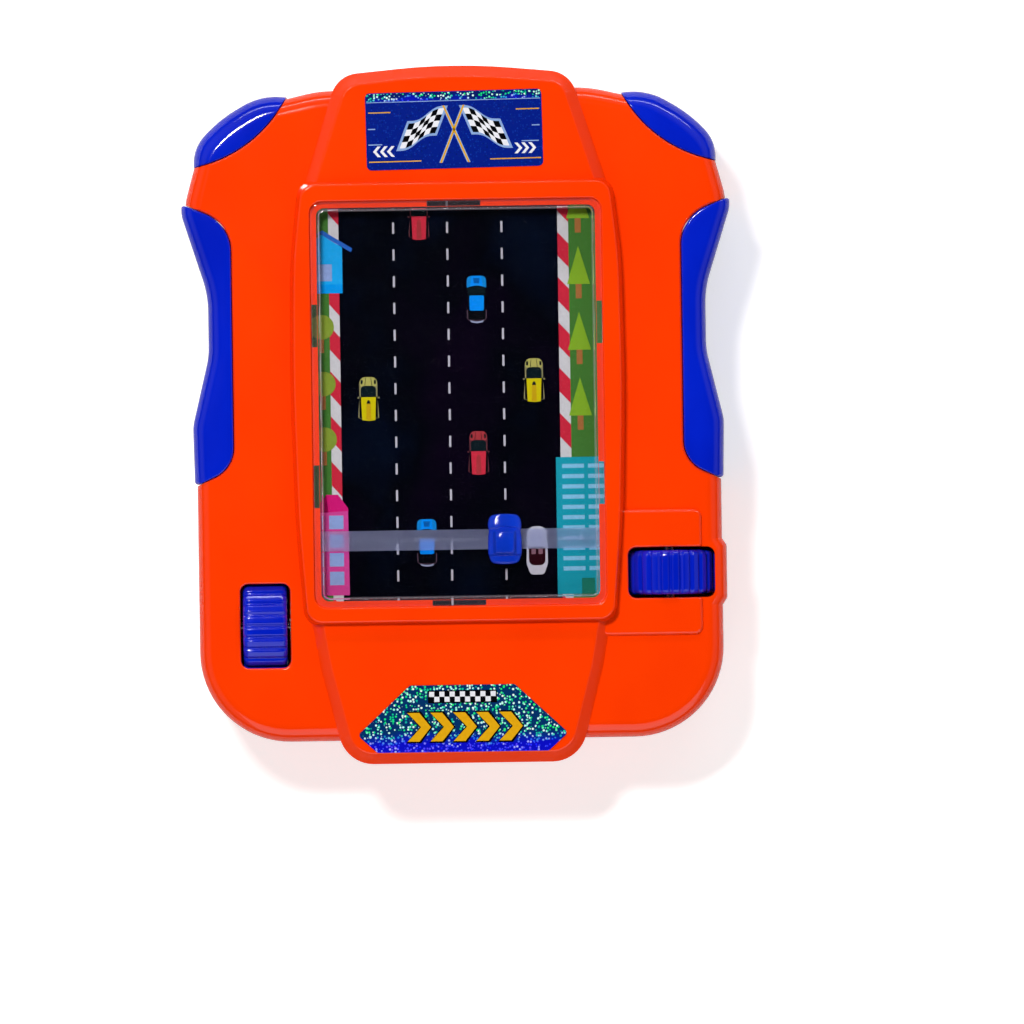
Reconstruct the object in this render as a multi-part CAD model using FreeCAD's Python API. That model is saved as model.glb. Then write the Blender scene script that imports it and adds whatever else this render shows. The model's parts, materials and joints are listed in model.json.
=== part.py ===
import FreeCAD, Part
import math
import os

# A handheld road racing toy, lying on its back. X runs across the face, Y up the face,
# Z out of the face. The back lies on Z = 0. All sizes are in millimetres.

# Case heights above the back face
PARTING_Z = 17.0
LOBE_Z = 33.8
HUMP_RISE = 1.0
COLUMN_Z = 36.6
BEZEL_RISE = 2.3
WALL = 2.0
COLUMN_INSET = 2.0
FRONT_ROUND = 4.0
BACK_ROUND = 5.5
FLOOR_FILL = (2.6, 1.5)
COLUMN_SLOPE = 2.7
COLUMN_EDGE_ROUND = 0.9
SEAM_GAP = 0.2
SEAM_BEVEL = 0.4
PAST = 1.0

# Case outline, right half. A top corner is (x, distance below the top edge, rounding),
# a bottom corner is (x, distance above the bottom edge, rounding)
HALF_HEIGHT = 85.1
LOBE_TOP_CORNERS = [(33.0, 5.6, 30.0), (49.5, 9.4, 12.0), (62.6, 20.1, 9.0), (66.2, 33.1, 20.0)]
CASE_HALF_WIDTH = 64.0
CASE_FOOT_RISE = 5.7
LOWER_CORNER_R = 22.0
HIP_R = 30.0

# Rim of the window, right half. A side corner is (distance inside the half width,
# distance from the rim's top or bottom, rounding)
BEZEL_HALF_WIDTH = 39.95
BEZEL_TOP_DROP = 28.6
BEZEL_TOP_Y = HALF_HEIGHT - BEZEL_TOP_DROP
BEZEL_LOW_RISE = 34.7
BEZEL_LOW_Y = BEZEL_LOW_RISE - HALF_HEIGHT
BEZEL_TOP_CORNERS = [(2.55, 0.0, 3.7), (0.45, 18.5, 120.0), (0.0, 48.5, 500.0)]
BEZEL_LOW_CORNERS = [(0.85, 24.4, 300.0), (2.75, 0.0, 3.7)]
BEZEL_DRAFT = 1.3
BEZEL_EDGE_ROUND = 0.6
BEZEL_INNER_ROUND = 0.4
BEZEL_SIDE_RIM = 4.35
BEZEL_TOP_RIM = 4.2
BEZEL_LOW_RIM = 3.6

# Raised column with header and nose, right half
COLUMN_TUCK = 1.35
COLUMN_HALF_WIDTH = BEZEL_HALF_WIDTH - COLUMN_TUCK
HEADER_CROWN_R = 150.0
HEADER_CORNER = (28.3, 2.0, 7.0)
HEADER_FOOT = (37.2, 29.3, 3.0)
COLUMN_CORNER_R = 3.0
COLUMN_TOP_DROP = 32.9
COLUMN_LOW_RISE = 37.6
NOSE_START = (36.2, 33.5, 3.0)
NOSE_WAIST = (34.4, 23.1, 40.0)
NOSE_CORNER = (28.4, 0.0, 8.5)

# Side grips, right half
GRIP_INNER_X = 55.0
GRIP_TOP_DROP = 37.8
GRIP_TOP_Y = HALF_HEIGHT - GRIP_TOP_DROP
GRIP_LOW_Y = -12.4
GRIP_TOP_R = 10.0
GRIP_BOTTOM_R = 7.8
GRIP_TOP_RISE = 0.41
GRIP_BOTTOM_FALL = 0.45
GRIP_SHOULDER = (67.0, 2.2, 8.0)
GRIP_OUTER = [(60.8, 30.0, 25.0), (60.8, 15.0, 20.0), (64.9, -2.0, 12.0)]
GRIP_END = (64.3, -30.0)
GRIP_LOW_Z = 2.0
GRIP_HIGH_Z = LOBE_Z + 0.2
GRIP_ROUND = 3.4
POCKET_REACH = 25.0
LUG_YS = (5.0, 28.0)
LUG_NECK_HALF = 2.5
LUG_HEAD_HALF = 4.0
LUG_HALF_HEIGHT = 2.5
LUG_HEAD_T = 1.6
LUG_ROOT = 1.0

# Corner bumpers, right half: the seam is an arc about a point outside the case
BUMPER_SEAM_X = 69.5
BUMPER_SEAM_RISE = 7.7
BUMPER_SEAM_R = 32.1
BUMPER_CORNERS = [
    (35.0, 7.7, 0.0),
    (46.8, 6.6, 8.0),
    (57.4, 12.4, 24.0),
    (63.8, 19.2, 9.0),
    (63.7, 35.1, 0.0),
    (35.0, 35.1, 0.0),
]
BUMPER_LOW_Z = 3.0
BUMPER_HIGH_Z = LOBE_Z - 0.8
BUMPER_ROUND = 3.6
BUMPER_LUG_DEG = 52.0

# Window and lens
FRAME_HALF_WIDTH = BEZEL_HALF_WIDTH - BEZEL_SIDE_RIM
FRAME_TOP_Y = BEZEL_TOP_Y - BEZEL_TOP_RIM
FRAME_LOW_Y = BEZEL_LOW_Y + BEZEL_LOW_RIM
FRAME_CORNER_R = 3.0
CLEAR_CORNER_R = 2.0
LEDGE = 1.6
LENS_T = 1.45
LENS_UNDER_Z = COLUMN_Z + 0.35
LENS_GAP = 0.12
LENS_STEP = 0.5
LENS_STEP_INSET = 2.0
LENS_STEP_ROUND = 0.4
LENS_EDGE_ROUND = 0.35
TAB_T = 1.1
TAB_HOOK = 0.8
TAB_HOOK_H = 0.9
TAB_GAP = 0.3
TAB_LOW_Z = 33.4
END_TAB_WIDTH = 12.5
END_TAB_X = -0.4
SIDE_TAB_WIDTH = 9.8
SIDE_TAB_YS = (22.0, -17.2)

# Road belt and its rollers
FILM_T = 0.3
FILM_PAST_WINDOW = 0.2
FILM_HALF_WIDTH = FRAME_HALF_WIDTH + FILM_PAST_WINDOW
ROLLER_R = 6.4
ROLLER_HALF_LENGTH = FRAME_HALF_WIDTH
SIDE_FRAME_PAST_WINDOW = 0.8
SIDE_FRAME_X = FRAME_HALF_WIDTH + SIDE_FRAME_PAST_WINDOW
RUN_FIT = 0.05
BELT_Z = 23.45
IDLER_DROP = 25.1
IDLER_Y = HALF_HEIGHT - IDLER_DROP
SHAFT_R = 1.5
SHAFT_FIT = 0.05
SHAFT_PROUD = 0.4
PRESS_FIT = 0.01

# Crank wheel and its gears
CRANK_PAST_BEZEL = 7.95
CRANK_X = -BEZEL_HALF_WIDTH - CRANK_PAST_BEZEL
CRANK_RISE = 34.1
CRANK_Y = CRANK_RISE - HALF_HEIGHT
CRANK_Z = 23.2
CRANK_R = 13.0
THUMB_WIDTH = 10.8
THUMB_EDGE_ROUND = 1.4
GRIP_GROOVES = 28
GROOVE_R = 0.9
GROOVE_DEPTH = 0.5
GEAR_MODULE = 0.7
CRANK_TEETH = 22
PINION_TEETH = 11
PRESSURE_DEG = 20.0
TOOTH_ADDENDUM = 0.75
TOOTH_DEDENDUM = 1.1
FLANK_STEPS = 4
BACKLASH = 0.12
GEAR_FACE = 2.6
PINION_FACE = 3.2
GEAR_PAST_FRAME = 5.4
GEAR_X = -SIDE_FRAME_X - GEAR_PAST_FRAME
PINION_SHIFT = 0.1
PINION_X = GEAR_X - PINION_SHIFT
GEAR_SHAFT_END = 0.2
CRANK_OPENING_X = CRANK_X + 0.1
CRANK_OPENING_HALF_X = 6.1
CRANK_OPENING_HALF_Y = 10.3
OPENING_CORNER_R = 2.0
OPENING_EDGE_ROUND = 0.5

# Steering wheel, drum and cord
STEER_PAST_BEZEL = 11.25
STEER_X = BEZEL_HALF_WIDTH + STEER_PAST_BEZEL
STEER_RISE = 45.8
STEER_Y = STEER_RISE - HALF_HEIGHT
STEER_Z = 24.6
STEER_R = 11.8
STEER_OPENING_X = STEER_X + 0.3
STEER_OPENING_HALF_X = 10.6
STEER_OPENING_HALF_Y = 6.2
CORD_Y = STEER_Y + 8.7
CORD_R = 0.35
CORD_LOOP_R = 6.6
DRUM_FLANGE_R = 6.9
DRUM_WIDTH = 3.6
DRUM_GROOVE_HALF = 0.6
CORD_FIT = 0.08
PULLEY_PAST_FRAME = 9.6
PULLEY_X = -SIDE_FRAME_X - PULLEY_PAST_FRAME
STOP_R = 6.1
STOP_SIZE = 1.3
STOP_HEIGHT = 1.0
STOP_ROOT = 0.3
STOP_ANGLE_DEG = 291.1
HUMP_UNDER_COLUMN = 4.6
HUMP_PAST_STEER = 7.8
HUMP_X = (COLUMN_HALF_WIDTH - HUMP_UNDER_COLUMN, STEER_X + HUMP_PAST_STEER)
HUMP_Y = (STEER_Y - 15.3, STEER_Y + 15.4)
HUMP_CORNER_R = 2.0
HUMP_EDGE_ROUND = 0.95
BULGE_PAST_STEER = 13.9
BULGE_X = STEER_X + BULGE_PAST_STEER
BULGE_Y = (STEER_Y - 8.6, STEER_Y + 8.6)
BULGE_LOW_Z = 9.0
BULGE_SLOPE = 2.2
BULGE_CORNER_R = 1.5
BULGE_LIP = 0.3
BULGE_WALL = 1.7
BULGE_END_WALL = 2.5

# Bearing ribs of the case
RIB_T = 1.6
RIB_HALF = 7.5
NARROW_RIB_HALF = 4.5
KEEPER_HALF = 3.0
RIB_TOP_ABOVE_AXIS = SHAFT_R + 0.1
RIB_PROUD = 1.2
CORD_RIB_OFFSET = 4.0
STEER_FAR_RIB = 7.4
CRANK_RIB_X = CRANK_X - 8.5

# Car, its rail and carriage
RAIL_WIDTH = 4.9
RAIL_T = 1.0
RAIL_Z = 31.8
RAIL_PAST_FRAME = 2.5
RAIL_HALF_LENGTH = SIDE_FRAME_X + RAIL_PAST_FRAME
RAIL_POCKET_GAP = 0.12
CAR_X = 10.9
CAR_LENGTH = 12.2
CAR_WIDTH = 8.3
CAR_BODY_H = 2.0
CAR_CORNER_R = 1.8
CAR_EDGE_ROUND = 0.8
CAR_FLOAT = 0.2
CABIN_H = 1.55
CABIN_SIDE_INSET = 1.1
CABIN_REAR_INSET = 1.9
CABIN_FRONT_INSET = 3.6
CABIN_CORNER_R = 1.3
CABIN_EDGE_ROUND = 0.9
CABIN_ROOT = 0.3
CARRIAGE_LENGTH = 7.0
CARRIAGE_WALL = 0.75
CARRIAGE_SIDE_GAP = 0.2
CARRIAGE_FLOOR_GAP = 0.15
CARRIAGE_FLOOR_T = 1.1

# Frame that carries the belt
SIDE_FRAME_T = 1.4
SIDE_FRAME_PAST_ROLLER = 7.5
SIDE_FRAME_LOW_Z = 8.0
SLOT_CENTRE = (14.0, 15.0)
SLOT_HALF_LENGTH = 20.0
SLOT_HALF_HEIGHT = 4.0
SLOT_R = 3.0
CORD_HOLE_R = 1.4
TABLE_GAP = 0.3
TABLE_T = 1.6
TABLE_FLANGE_T = 3.0
TABLE_FLANGE_H = 7.0
TABLE_FLANGE_END = 4.0
TABLE_END_GAP = 1.0
TABLE_SCREW_DROP = 3.9
TABLE_SCREW_YS = (30.0, -6.0)
FOOT_YS = (38.0, -10.0)
FOOT_HALF = 4.0
FOOT_REACH = 7.0
FOOT_T = 2.0
FOOT_BOSS_R = 3.6
FOOT_BOSS_H = 2.0
RAIL_PAD = 1.6
PAD_ROOT = 0.4
EAR_T = 1.15
EAR_REACH = 2.2
EAR_ROOT = 3.0

# Screws
SCREW_SHANK_R = 1.2
SCREW_HEAD_R = 2.4
SCREW_HEAD_H = 1.6
HEAD_ROOT = 0.2
SCREW_CLEARANCE = 0.2
PILOT_DEPTH = 1.6
CASE_SCREW_SEAT_Z = 9.0
CASE_SCREW_LENGTH = 14.0
CASE_SCREW_SPOTS = [
    (45.5, IDLER_Y, LOBE_Z),
    (45.5, 8.0, LOBE_Z),
    (22.0, 8.1 - HALF_HEIGHT, COLUMN_Z),
]
BACK_BOSS_R = 4.4
FRONT_BOSS_R = 3.4
RECESS_R = 3.0
SMALL_SCREW_R = 0.9
SMALL_SCREW_CLEARANCE = 0.1
SMALL_HEAD_R = 1.8
SMALL_HEAD_H = 1.2
SMALL_SCREW_LENGTH = 4.0
FOOT_SCREW_SPARE = 0.4

# Stickers
STICKER_T = 0.2
HEADER_LABEL = (43.0, 18.8)
HEADER_LABEL_DROP = 15.7
HEADER_LABEL_Y = HALF_HEIGHT - HEADER_LABEL_DROP
HEADER_LABEL_TURN_DEG = 0.8
HEADER_LABEL_R = 1.2
NOSE_LABEL = [(12.8, 19.1, 1.0), (25.7, 7.1, 1.0), (20.9, 2.8, 1.0)]


def vec(x, y, z=0.0):
    return FreeCAD.Vector(x, y, z)


def box(x0, x1, y0, y1, z0, z1):
    return Part.makeBox(x1 - x0, y1 - y0, z1 - z0, vec(x0, y0, z0))


def cylinder(radius, start, end):
    """Round bar from one point to another."""
    axis = vec(*end).sub(vec(*start))
    return Part.makeCylinder(radius, axis.Length, vec(*start), axis)


def outline(points):
    """Closed wire at Z = 0 through corner points (x, y, radius), each corner an arc."""
    corners = []
    count = len(points)
    for i in range(count):
        px, py, r = points[i]
        here = vec(px, py)
        before = vec(points[i - 1][0], points[i - 1][1]).sub(here).normalize()
        after = vec(points[(i + 1) % count][0], points[(i + 1) % count][1]).sub(here).normalize()
        half = before.getAngle(after) / 2.0
        if r <= 0.0 or abs(half - math.pi / 2) < 1e-6:
            corners.append((here, here, here))
            continue
        reach = r / math.tan(half)
        middle = before.add(after).normalize()
        near = here.add(middle * (r / math.sin(half) - r))
        corners.append((here.add(before * reach), near, here.add(after * reach)))
    edges = []
    for i in range(count):
        start, near, end = corners[i]
        if start.sub(end).Length > 1e-6:
            edges.append(Part.Arc(start, near, end).toShape())
        following = corners[(i + 1) % count][0]
        if end.sub(following).Length > 1e-6:
            edges.append(Part.makeLine(end, following))
    return Part.Wire(edges)


def both_halves(right):
    """Whole outline from its right half, listed from the top down."""
    left = [(-x, y, r) for x, y, r in reversed(right) if x > 0.0]
    return right + left


def inset(wire, distance):
    """Outline moved inwards by a distance, or outwards if it is negative."""
    return Part.Face(wire).makeOffset2D(-distance).OuterWire


def prism(wire, z0, z1):
    face = Part.Face(wire)
    face.translate(vec(0, 0, z0))
    return face.extrude(vec(0, 0, z1 - z0))


def block(points, z0, z1):
    return prism(outline(points), z0, z1)


def drafted(wire, z0, z1, draft):
    """Block with this outline at its top, whose walls lean outwards down to its foot."""
    foot = inset(wire, -draft)
    foot.translate(vec(0, 0, z0))
    top = wire.copy()
    top.translate(vec(0, 0, z1))
    return Part.makeLoft([foot, top], True, True)


def mirrored(shape):
    return shape.mirror(vec(0, 0, 0), vec(1, 0, 0))


def edges_at(shape, z, test=None):
    """Edges that lie flat at a height, and whose middle passes a test."""
    found = []
    for edge in shape.Edges:
        bounds = edge.BoundBox
        if abs(bounds.ZMin - z) > 1e-4 or abs(bounds.ZMax - z) > 1e-4:
            continue
        middle = edge.valueAt((edge.FirstParameter + edge.LastParameter) / 2.0)
        if test is None or test(middle):
            found.append(edge)
    return found


def round_edges(shape, radius, z, test=None):
    return shape.makeFillet(radius, edges_at(shape, z, test))


def join(shapes):
    """One solid from shapes that touch or overlap."""
    whole = shapes[0].multiFuse(shapes[1:]) if len(shapes) > 1 else shapes[0]
    return whole.removeSplitter()


def save(name, shapes):
    """Writes one node and prints what it holds."""
    whole = shapes if isinstance(shapes, list) else [shapes]
    solids = [solid for shape in whole for solid in shape.Solids]
    shape = solids[0] if len(solids) == 1 else Part.makeCompound(solids)
    shape.exportStep("parts/%s.step" % name)
    print("%-22s solids %d volume %9.1f valid %s" % (name, len(solids), shape.Volume, shape.isValid()))


def from_top(corner):
    """Outline corner whose Y is given as its distance below the top edge."""
    x, drop, r = corner
    return (x, HALF_HEIGHT - drop, r)


def from_bottom(corner):
    """Outline corner whose Y is given as its distance above the bottom edge."""
    x, rise, r = corner
    return (x, rise - HALF_HEIGHT, r)


def crown_point():
    """Corner point of the header's crown, so that its arc peaks at the case's half height."""
    centre_y = HALF_HEIGHT - HEADER_CROWN_R
    x, y = HEADER_CORNER[0], HEADER_CROWN_R - HEADER_CORNER[1]
    lean = math.atan2(x, y) - math.acos(HEADER_CROWN_R / math.hypot(x, y))
    return (0.0, centre_y + HEADER_CROWN_R / math.cos(lean), HEADER_CROWN_R)


LOBES = both_halves([from_top(corner) for corner in LOBE_TOP_CORNERS] + [
    (CASE_HALF_WIDTH, GRIP_LOW_Y, HIP_R),
    from_bottom((CASE_HALF_WIDTH, CASE_FOOT_RISE, LOWER_CORNER_R)),
])
HEADER = [crown_point(), from_top(HEADER_CORNER), from_top(HEADER_FOOT)]
NOSE = [from_bottom(NOSE_START), from_bottom(NOSE_WAIST), from_bottom(NOSE_CORNER)]
COLUMN_SIDE = [
    from_top((COLUMN_HALF_WIDTH, COLUMN_TOP_DROP, COLUMN_CORNER_R)),
    from_bottom((COLUMN_HALF_WIDTH, COLUMN_LOW_RISE, COLUMN_CORNER_R)),
]
COLUMN = both_halves(HEADER + COLUMN_SIDE + NOSE)
BEZEL = both_halves(
    [(BEZEL_HALF_WIDTH - shy, BEZEL_TOP_Y - drop, r) for shy, drop, r in BEZEL_TOP_CORNERS]
    + [(BEZEL_HALF_WIDTH - shy, BEZEL_LOW_Y + rise, r) for shy, rise, r in BEZEL_LOW_CORNERS])
BUMPER_SEAM_CENTRE = (BUMPER_SEAM_X, HALF_HEIGHT + BUMPER_SEAM_RISE)


def grip_pocket(gap, low_z, high_z):
    """Right side pocket of a grip, open to the outside, widened by a gap."""
    points = [
        (GRIP_INNER_X + POCKET_REACH, GRIP_TOP_Y + POCKET_REACH * GRIP_TOP_RISE, 0.0),
        (GRIP_INNER_X + POCKET_REACH, GRIP_LOW_Y - POCKET_REACH * GRIP_BOTTOM_FALL, 0.0),
        (GRIP_INNER_X, GRIP_LOW_Y, GRIP_BOTTOM_R),
        (GRIP_INNER_X, GRIP_TOP_Y, GRIP_TOP_R),
    ]
    wire = outline(points)
    if gap > 0.0:
        wire = inset(wire, -gap)
    return prism(wire, low_z, high_z)


def bumper_pocket(gap, low_z, high_z):
    """Right corner pocket of a bumper, widened by a gap."""
    x, y = BUMPER_SEAM_CENTRE
    return cylinder(BUMPER_SEAM_R + gap, (x, y, low_z), (x, y, high_z))


def lug_block(x0, x1, half_y, grow):
    """Block of a lug along X, centred on the parting plane and grown on its sides."""
    return box(x0, x1, -half_y - grow, half_y + grow,
               PARTING_Z - LUG_HALF_HEIGHT - grow, PARTING_Z + LUG_HALF_HEIGHT + grow)


def lug(root_x):
    """Lug that runs inwards from a face: a neck through the case wall and a wider head behind it."""
    head_x = root_x - WALL - SEAM_GAP
    neck = lug_block(head_x - LUG_HEAD_T / 2, root_x + LUG_ROOT, LUG_NECK_HALF, 0.0)
    head = lug_block(head_x - LUG_HEAD_T, head_x, LUG_HEAD_HALF, 0.0)
    return join([neck, head])


def lug_slot(root_x):
    """Slot in the case wall for the neck of a lug."""
    return lug_block(root_x - 3 * WALL, root_x + LUG_ROOT, LUG_NECK_HALF, SEAM_GAP)


def placed_on_bumper(shape):
    """Turns a lug or its slot towards the case and puts it at the bumper's seam centre."""
    shape.rotate(vec(0, 0, 0), vec(0, 0, 1), BUMPER_LUG_DEG)
    shape.translate(vec(BUMPER_SEAM_CENTRE[0], BUMPER_SEAM_CENTRE[1], 0))
    return shape


def placed_on_grip(shape, y):
    """Puts a lug or its slot at a height on the grip."""
    shape.translate(vec(0, y, 0))
    return shape


def grip():
    """Right side grip: a waisted insert with two lugs that the case halves trap."""
    deep_x = GRIP_INNER_X - POCKET_REACH
    shoulder = (GRIP_SHOULDER[0], GRIP_TOP_Y + GRIP_SHOULDER[1], GRIP_SHOULDER[2])
    top_y = GRIP_TOP_Y + POCKET_REACH
    region = [(deep_x, top_y, 0.0), (shoulder[0], top_y, 0.0), shoulder] + GRIP_OUTER
    region += [(GRIP_END[0], GRIP_END[1], 0.0), (deep_x, GRIP_END[1], 0.0)]
    outside = block(region, GRIP_LOW_Z, GRIP_HIGH_Z)

    def outer(p):
        return p.x > GRIP_INNER_X + GRIP_ROUND and GRIP_END[1] < p.y < top_y

    outside = round_edges(outside, GRIP_ROUND, GRIP_HIGH_Z, outer)
    outside = round_edges(outside, GRIP_ROUND, GRIP_LOW_Z, outer)
    body = grip_pocket(0.0, GRIP_LOW_Z, GRIP_HIGH_Z).common(outside)
    return join([body] + [placed_on_grip(lug(GRIP_INNER_X), y) for y in LUG_YS])


def bumper():
    """Right corner bumper with its lug."""
    region = [from_top(corner) for corner in BUMPER_CORNERS]
    outside = block(region, BUMPER_LOW_Z, BUMPER_HIGH_Z)
    inner_x, low_y = region[-1][0], region[-1][1]

    def outer(p):
        return p.y > low_y + WALL / 4 and p.x > inner_x + WALL / 4

    outside = round_edges(outside, BUMPER_ROUND, BUMPER_HIGH_Z, outer)
    outside = round_edges(outside, BUMPER_ROUND, BUMPER_LOW_Z, outer)
    body = outside.common(bumper_pocket(0.0, BUMPER_LOW_Z, BUMPER_HIGH_Z))
    return join([body, placed_on_bumper(lug(-BUMPER_SEAM_R))])


def bulge(low_z, high_z):
    """Swelling of the right side that houses the steering wheel."""
    low, high = BULGE_Y
    points = [
        (GRIP_INNER_X, high, 0.0),
        (CASE_HALF_WIDTH - BULGE_LIP, high, 0.0),
        (BULGE_X, high - BULGE_SLOPE, BULGE_CORNER_R),
        (BULGE_X, low + BULGE_SLOPE, BULGE_CORNER_R),
        (CASE_HALF_WIDTH - BULGE_LIP, low, 0.0),
        (GRIP_INNER_X, low, 0.0),
    ]
    return block(points, low_z, high_z)


def shaft_notch(centre, axis, z_top):
    """Open slot for a shaft along an axis, down from a rib's top."""
    x, y, z = centre
    r = SHAFT_R + SHAFT_FIT
    reach = RIB_T
    if axis == "y":
        bar = cylinder(r, (x, y - reach, z), (x, y + reach, z))
        way = box(x - r, x + r, y - reach, y + reach, z, z_top + PAST)
    else:
        bar = cylinder(r, (x - reach, y, z), (x + reach, y, z))
        way = box(x - reach, x + reach, y - r, y + r, z, z_top + PAST)
    return bar.fuse(way)


# Ribs as (x, y, z, direction of the shaft, half width)
RIBS = [
    (STEER_X, CORD_Y + CORD_RIB_OFFSET, STEER_Z, "y", RIB_HALF),
    (STEER_X, STEER_Y - STEER_FAR_RIB, STEER_Z, "y", RIB_HALF),
    (PULLEY_X, CORD_Y + CORD_RIB_OFFSET, STEER_Z, "y", NARROW_RIB_HALF),
    (PULLEY_X, CORD_Y - CORD_RIB_OFFSET, STEER_Z, "y", NARROW_RIB_HALF),
    (CRANK_RIB_X, CRANK_Y, CRANK_Z, "x", NARROW_RIB_HALF),
]


def rib(spot, half, z0, z1):
    """Upright bearing rib, its thickness along the shaft."""
    x, y, _, axis, _ = spot
    t = RIB_T / 2.0
    if axis == "y":
        return box(x - half, x + half, y - t, y + t, z0, z1)
    return box(x - t, x + t, y - half, y + half, z0, z1)


def pocket_walls(low_z, high_z):
    """Walls of the case behind the right grip and bumper."""
    return [grip_pocket(WALL, low_z, high_z), bumper_pocket(WALL, low_z, high_z)]


def case_cavity(low_z, lobe_z, column_z, lobe_inset, column_inset):
    """Inside of a case half, clear of the walls behind grips and bumpers."""
    hollow = prism(inset(outline(LOBES), lobe_inset), low_z, lobe_z)
    hollow = hollow.fuse(prism(inset(outline(COLUMN), column_inset), low_z, column_z))
    walls = []
    for wall in pocket_walls(low_z - PAST, column_z + PAST):
        walls += [wall, mirrored(wall)]
    for wall in walls:
        hollow = hollow.cut(wall)
    return hollow


def side_pockets():
    """Everything cut out of both sides of the case for grips and bumpers."""
    top = COLUMN_Z + PAST
    cuts = [grip_pocket(SEAM_GAP, -PAST, top), bumper_pocket(SEAM_GAP, -PAST, top)]
    cuts.append(placed_on_bumper(lug_slot(-BUMPER_SEAM_R)))
    cuts += [placed_on_grip(lug_slot(GRIP_INNER_X), y) for y in LUG_YS]
    return cuts + [mirrored(cut) for cut in cuts]


def round_rectangle(half_x, low_y, high_y, r, z0, z1, centre_x=0.0):
    points = [
        (centre_x - half_x, high_y, r),
        (centre_x + half_x, high_y, r),
        (centre_x + half_x, low_y, r),
        (centre_x - half_x, low_y, r),
    ]
    return block(points, z0, z1)


def lens_tabs(grow):
    """Places of the lens tabs as boxes (x0, x1, y0, y1), with the direction of their hooks."""
    half_end = END_TAB_WIDTH / 2.0 + grow
    half_side = SIDE_TAB_WIDTH / 2.0 + grow
    edge = FRAME_HALF_WIDTH - LENS_GAP
    top = FRAME_TOP_Y - LENS_GAP
    low = FRAME_LOW_Y + LENS_GAP
    tabs = [
        (END_TAB_X - half_end, END_TAB_X + half_end, top - TAB_T - grow, top, (0, 1)),
        (END_TAB_X - half_end, END_TAB_X + half_end, low, low + TAB_T + grow, (0, -1)),
    ]
    for y in SIDE_TAB_YS:
        tabs.append((edge - TAB_T - grow, edge, y - half_side, y + half_side, (1, 0)))
        tabs.append((-edge, -edge + TAB_T + grow, y - half_side, y + half_side, (-1, 0)))
    return tabs


def window_lens():
    """Clear window: a plate with a raised middle and clip tabs that hook under the ledge."""
    plate = round_rectangle(FRAME_HALF_WIDTH - LENS_GAP, FRAME_LOW_Y + LENS_GAP, FRAME_TOP_Y - LENS_GAP,
                            FRAME_CORNER_R, LENS_UNDER_Z, LENS_UNDER_Z + LENS_T - LENS_STEP)
    step = LENS_STEP_INSET
    middle = round_rectangle(FRAME_HALF_WIDTH - step, FRAME_LOW_Y + step, FRAME_TOP_Y - step,
                             CLEAR_CORNER_R, LENS_UNDER_Z, LENS_UNDER_Z + LENS_T)
    middle = round_edges(middle, LENS_STEP_ROUND, LENS_UNDER_Z + LENS_T)
    plate = round_edges(plate, LENS_EDGE_ROUND, LENS_UNDER_Z + LENS_T - LENS_STEP)
    parts = [plate, middle]
    for x0, x1, y0, y1, (dx, dy) in lens_tabs(0.0):
        parts.append(box(x0, x1, y0, y1, TAB_LOW_Z, LENS_UNDER_Z))
        hook = [x0, x1, y0, y1]
        hook[0] -= TAB_HOOK if dx < 0 else 0.0
        hook[1] += TAB_HOOK if dx > 0 else 0.0
        hook[2] -= TAB_HOOK if dy < 0 else 0.0
        hook[3] += TAB_HOOK if dy > 0 else 0.0
        parts.append(box(hook[0], hook[1], hook[2], hook[3], TAB_LOW_Z, TAB_LOW_Z + TAB_HOOK_H))
    return join(parts)


def seam_bevels():
    """Cutters that slope the rims of the grip's and bumper's pockets on the face."""
    low = LOBE_Z - SEAM_BEVEL
    reach = 2 * SEAM_BEVEL
    r = BUMPER_SEAM_R + SEAM_GAP
    cone = Part.makeCone(r, r + reach, reach, vec(BUMPER_SEAM_CENTRE[0], BUMPER_SEAM_CENTRE[1], low))
    rim = grip_pocket(SEAM_GAP + reach, low, LOBE_Z + reach)
    rim = rim.makeChamfer(reach, edges_at(rim, low))
    return [cone, rim, mirrored(cone), mirrored(rim)]


def in_box(p, half_x, low_y, high_y, centre_x=0.0):
    return abs(p.x - centre_x) < half_x + SEAM_GAP and low_y - SEAM_GAP < p.y < high_y + SEAM_GAP


def thumb_openings():
    """Openings over the thumb wheels as (centre x, centre y, half x, half y, height of the face)."""
    return [
        (CRANK_OPENING_X, CRANK_Y, CRANK_OPENING_HALF_X, CRANK_OPENING_HALF_Y, LOBE_Z),
        (STEER_OPENING_X, STEER_Y, STEER_OPENING_HALF_X, STEER_OPENING_HALF_Y, LOBE_Z + HUMP_RISE),
    ]


def front_outside():
    """Front half of the case as one full block: lobes, column, hump, bulge and bezel."""
    lobes = round_edges(prism(outline(LOBES), PARTING_Z, LOBE_Z), FRONT_ROUND, LOBE_Z)
    column = prism(outline(COLUMN), PARTING_Z, COLUMN_Z)
    column = column.makeChamfer(COLUMN_SLOPE, edges_at(column, COLUMN_Z))
    column = round_edges(column, COLUMN_EDGE_ROUND, COLUMN_Z)
    hump_top = LOBE_Z + HUMP_RISE
    hump = round_rectangle((HUMP_X[1] - HUMP_X[0]) / 2.0, HUMP_Y[0], HUMP_Y[1], HUMP_CORNER_R,
                           LOBE_Z - WALL, hump_top, (HUMP_X[0] + HUMP_X[1]) / 2.0)
    hump = round_edges(hump, HUMP_EDGE_ROUND, hump_top)
    swell = round_edges(bulge(PARTING_Z, LOBE_Z), FRONT_ROUND - BULGE_LIP, LOBE_Z,
                        lambda p: p.x > CASE_HALF_WIDTH)
    bezel_top = COLUMN_Z + BEZEL_RISE
    bezel = round_edges(drafted(outline(BEZEL), LOBE_Z - PAST, bezel_top, BEZEL_DRAFT),
                        BEZEL_EDGE_ROUND, bezel_top)
    return join([lobes, column, hump, swell, bezel])


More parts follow.
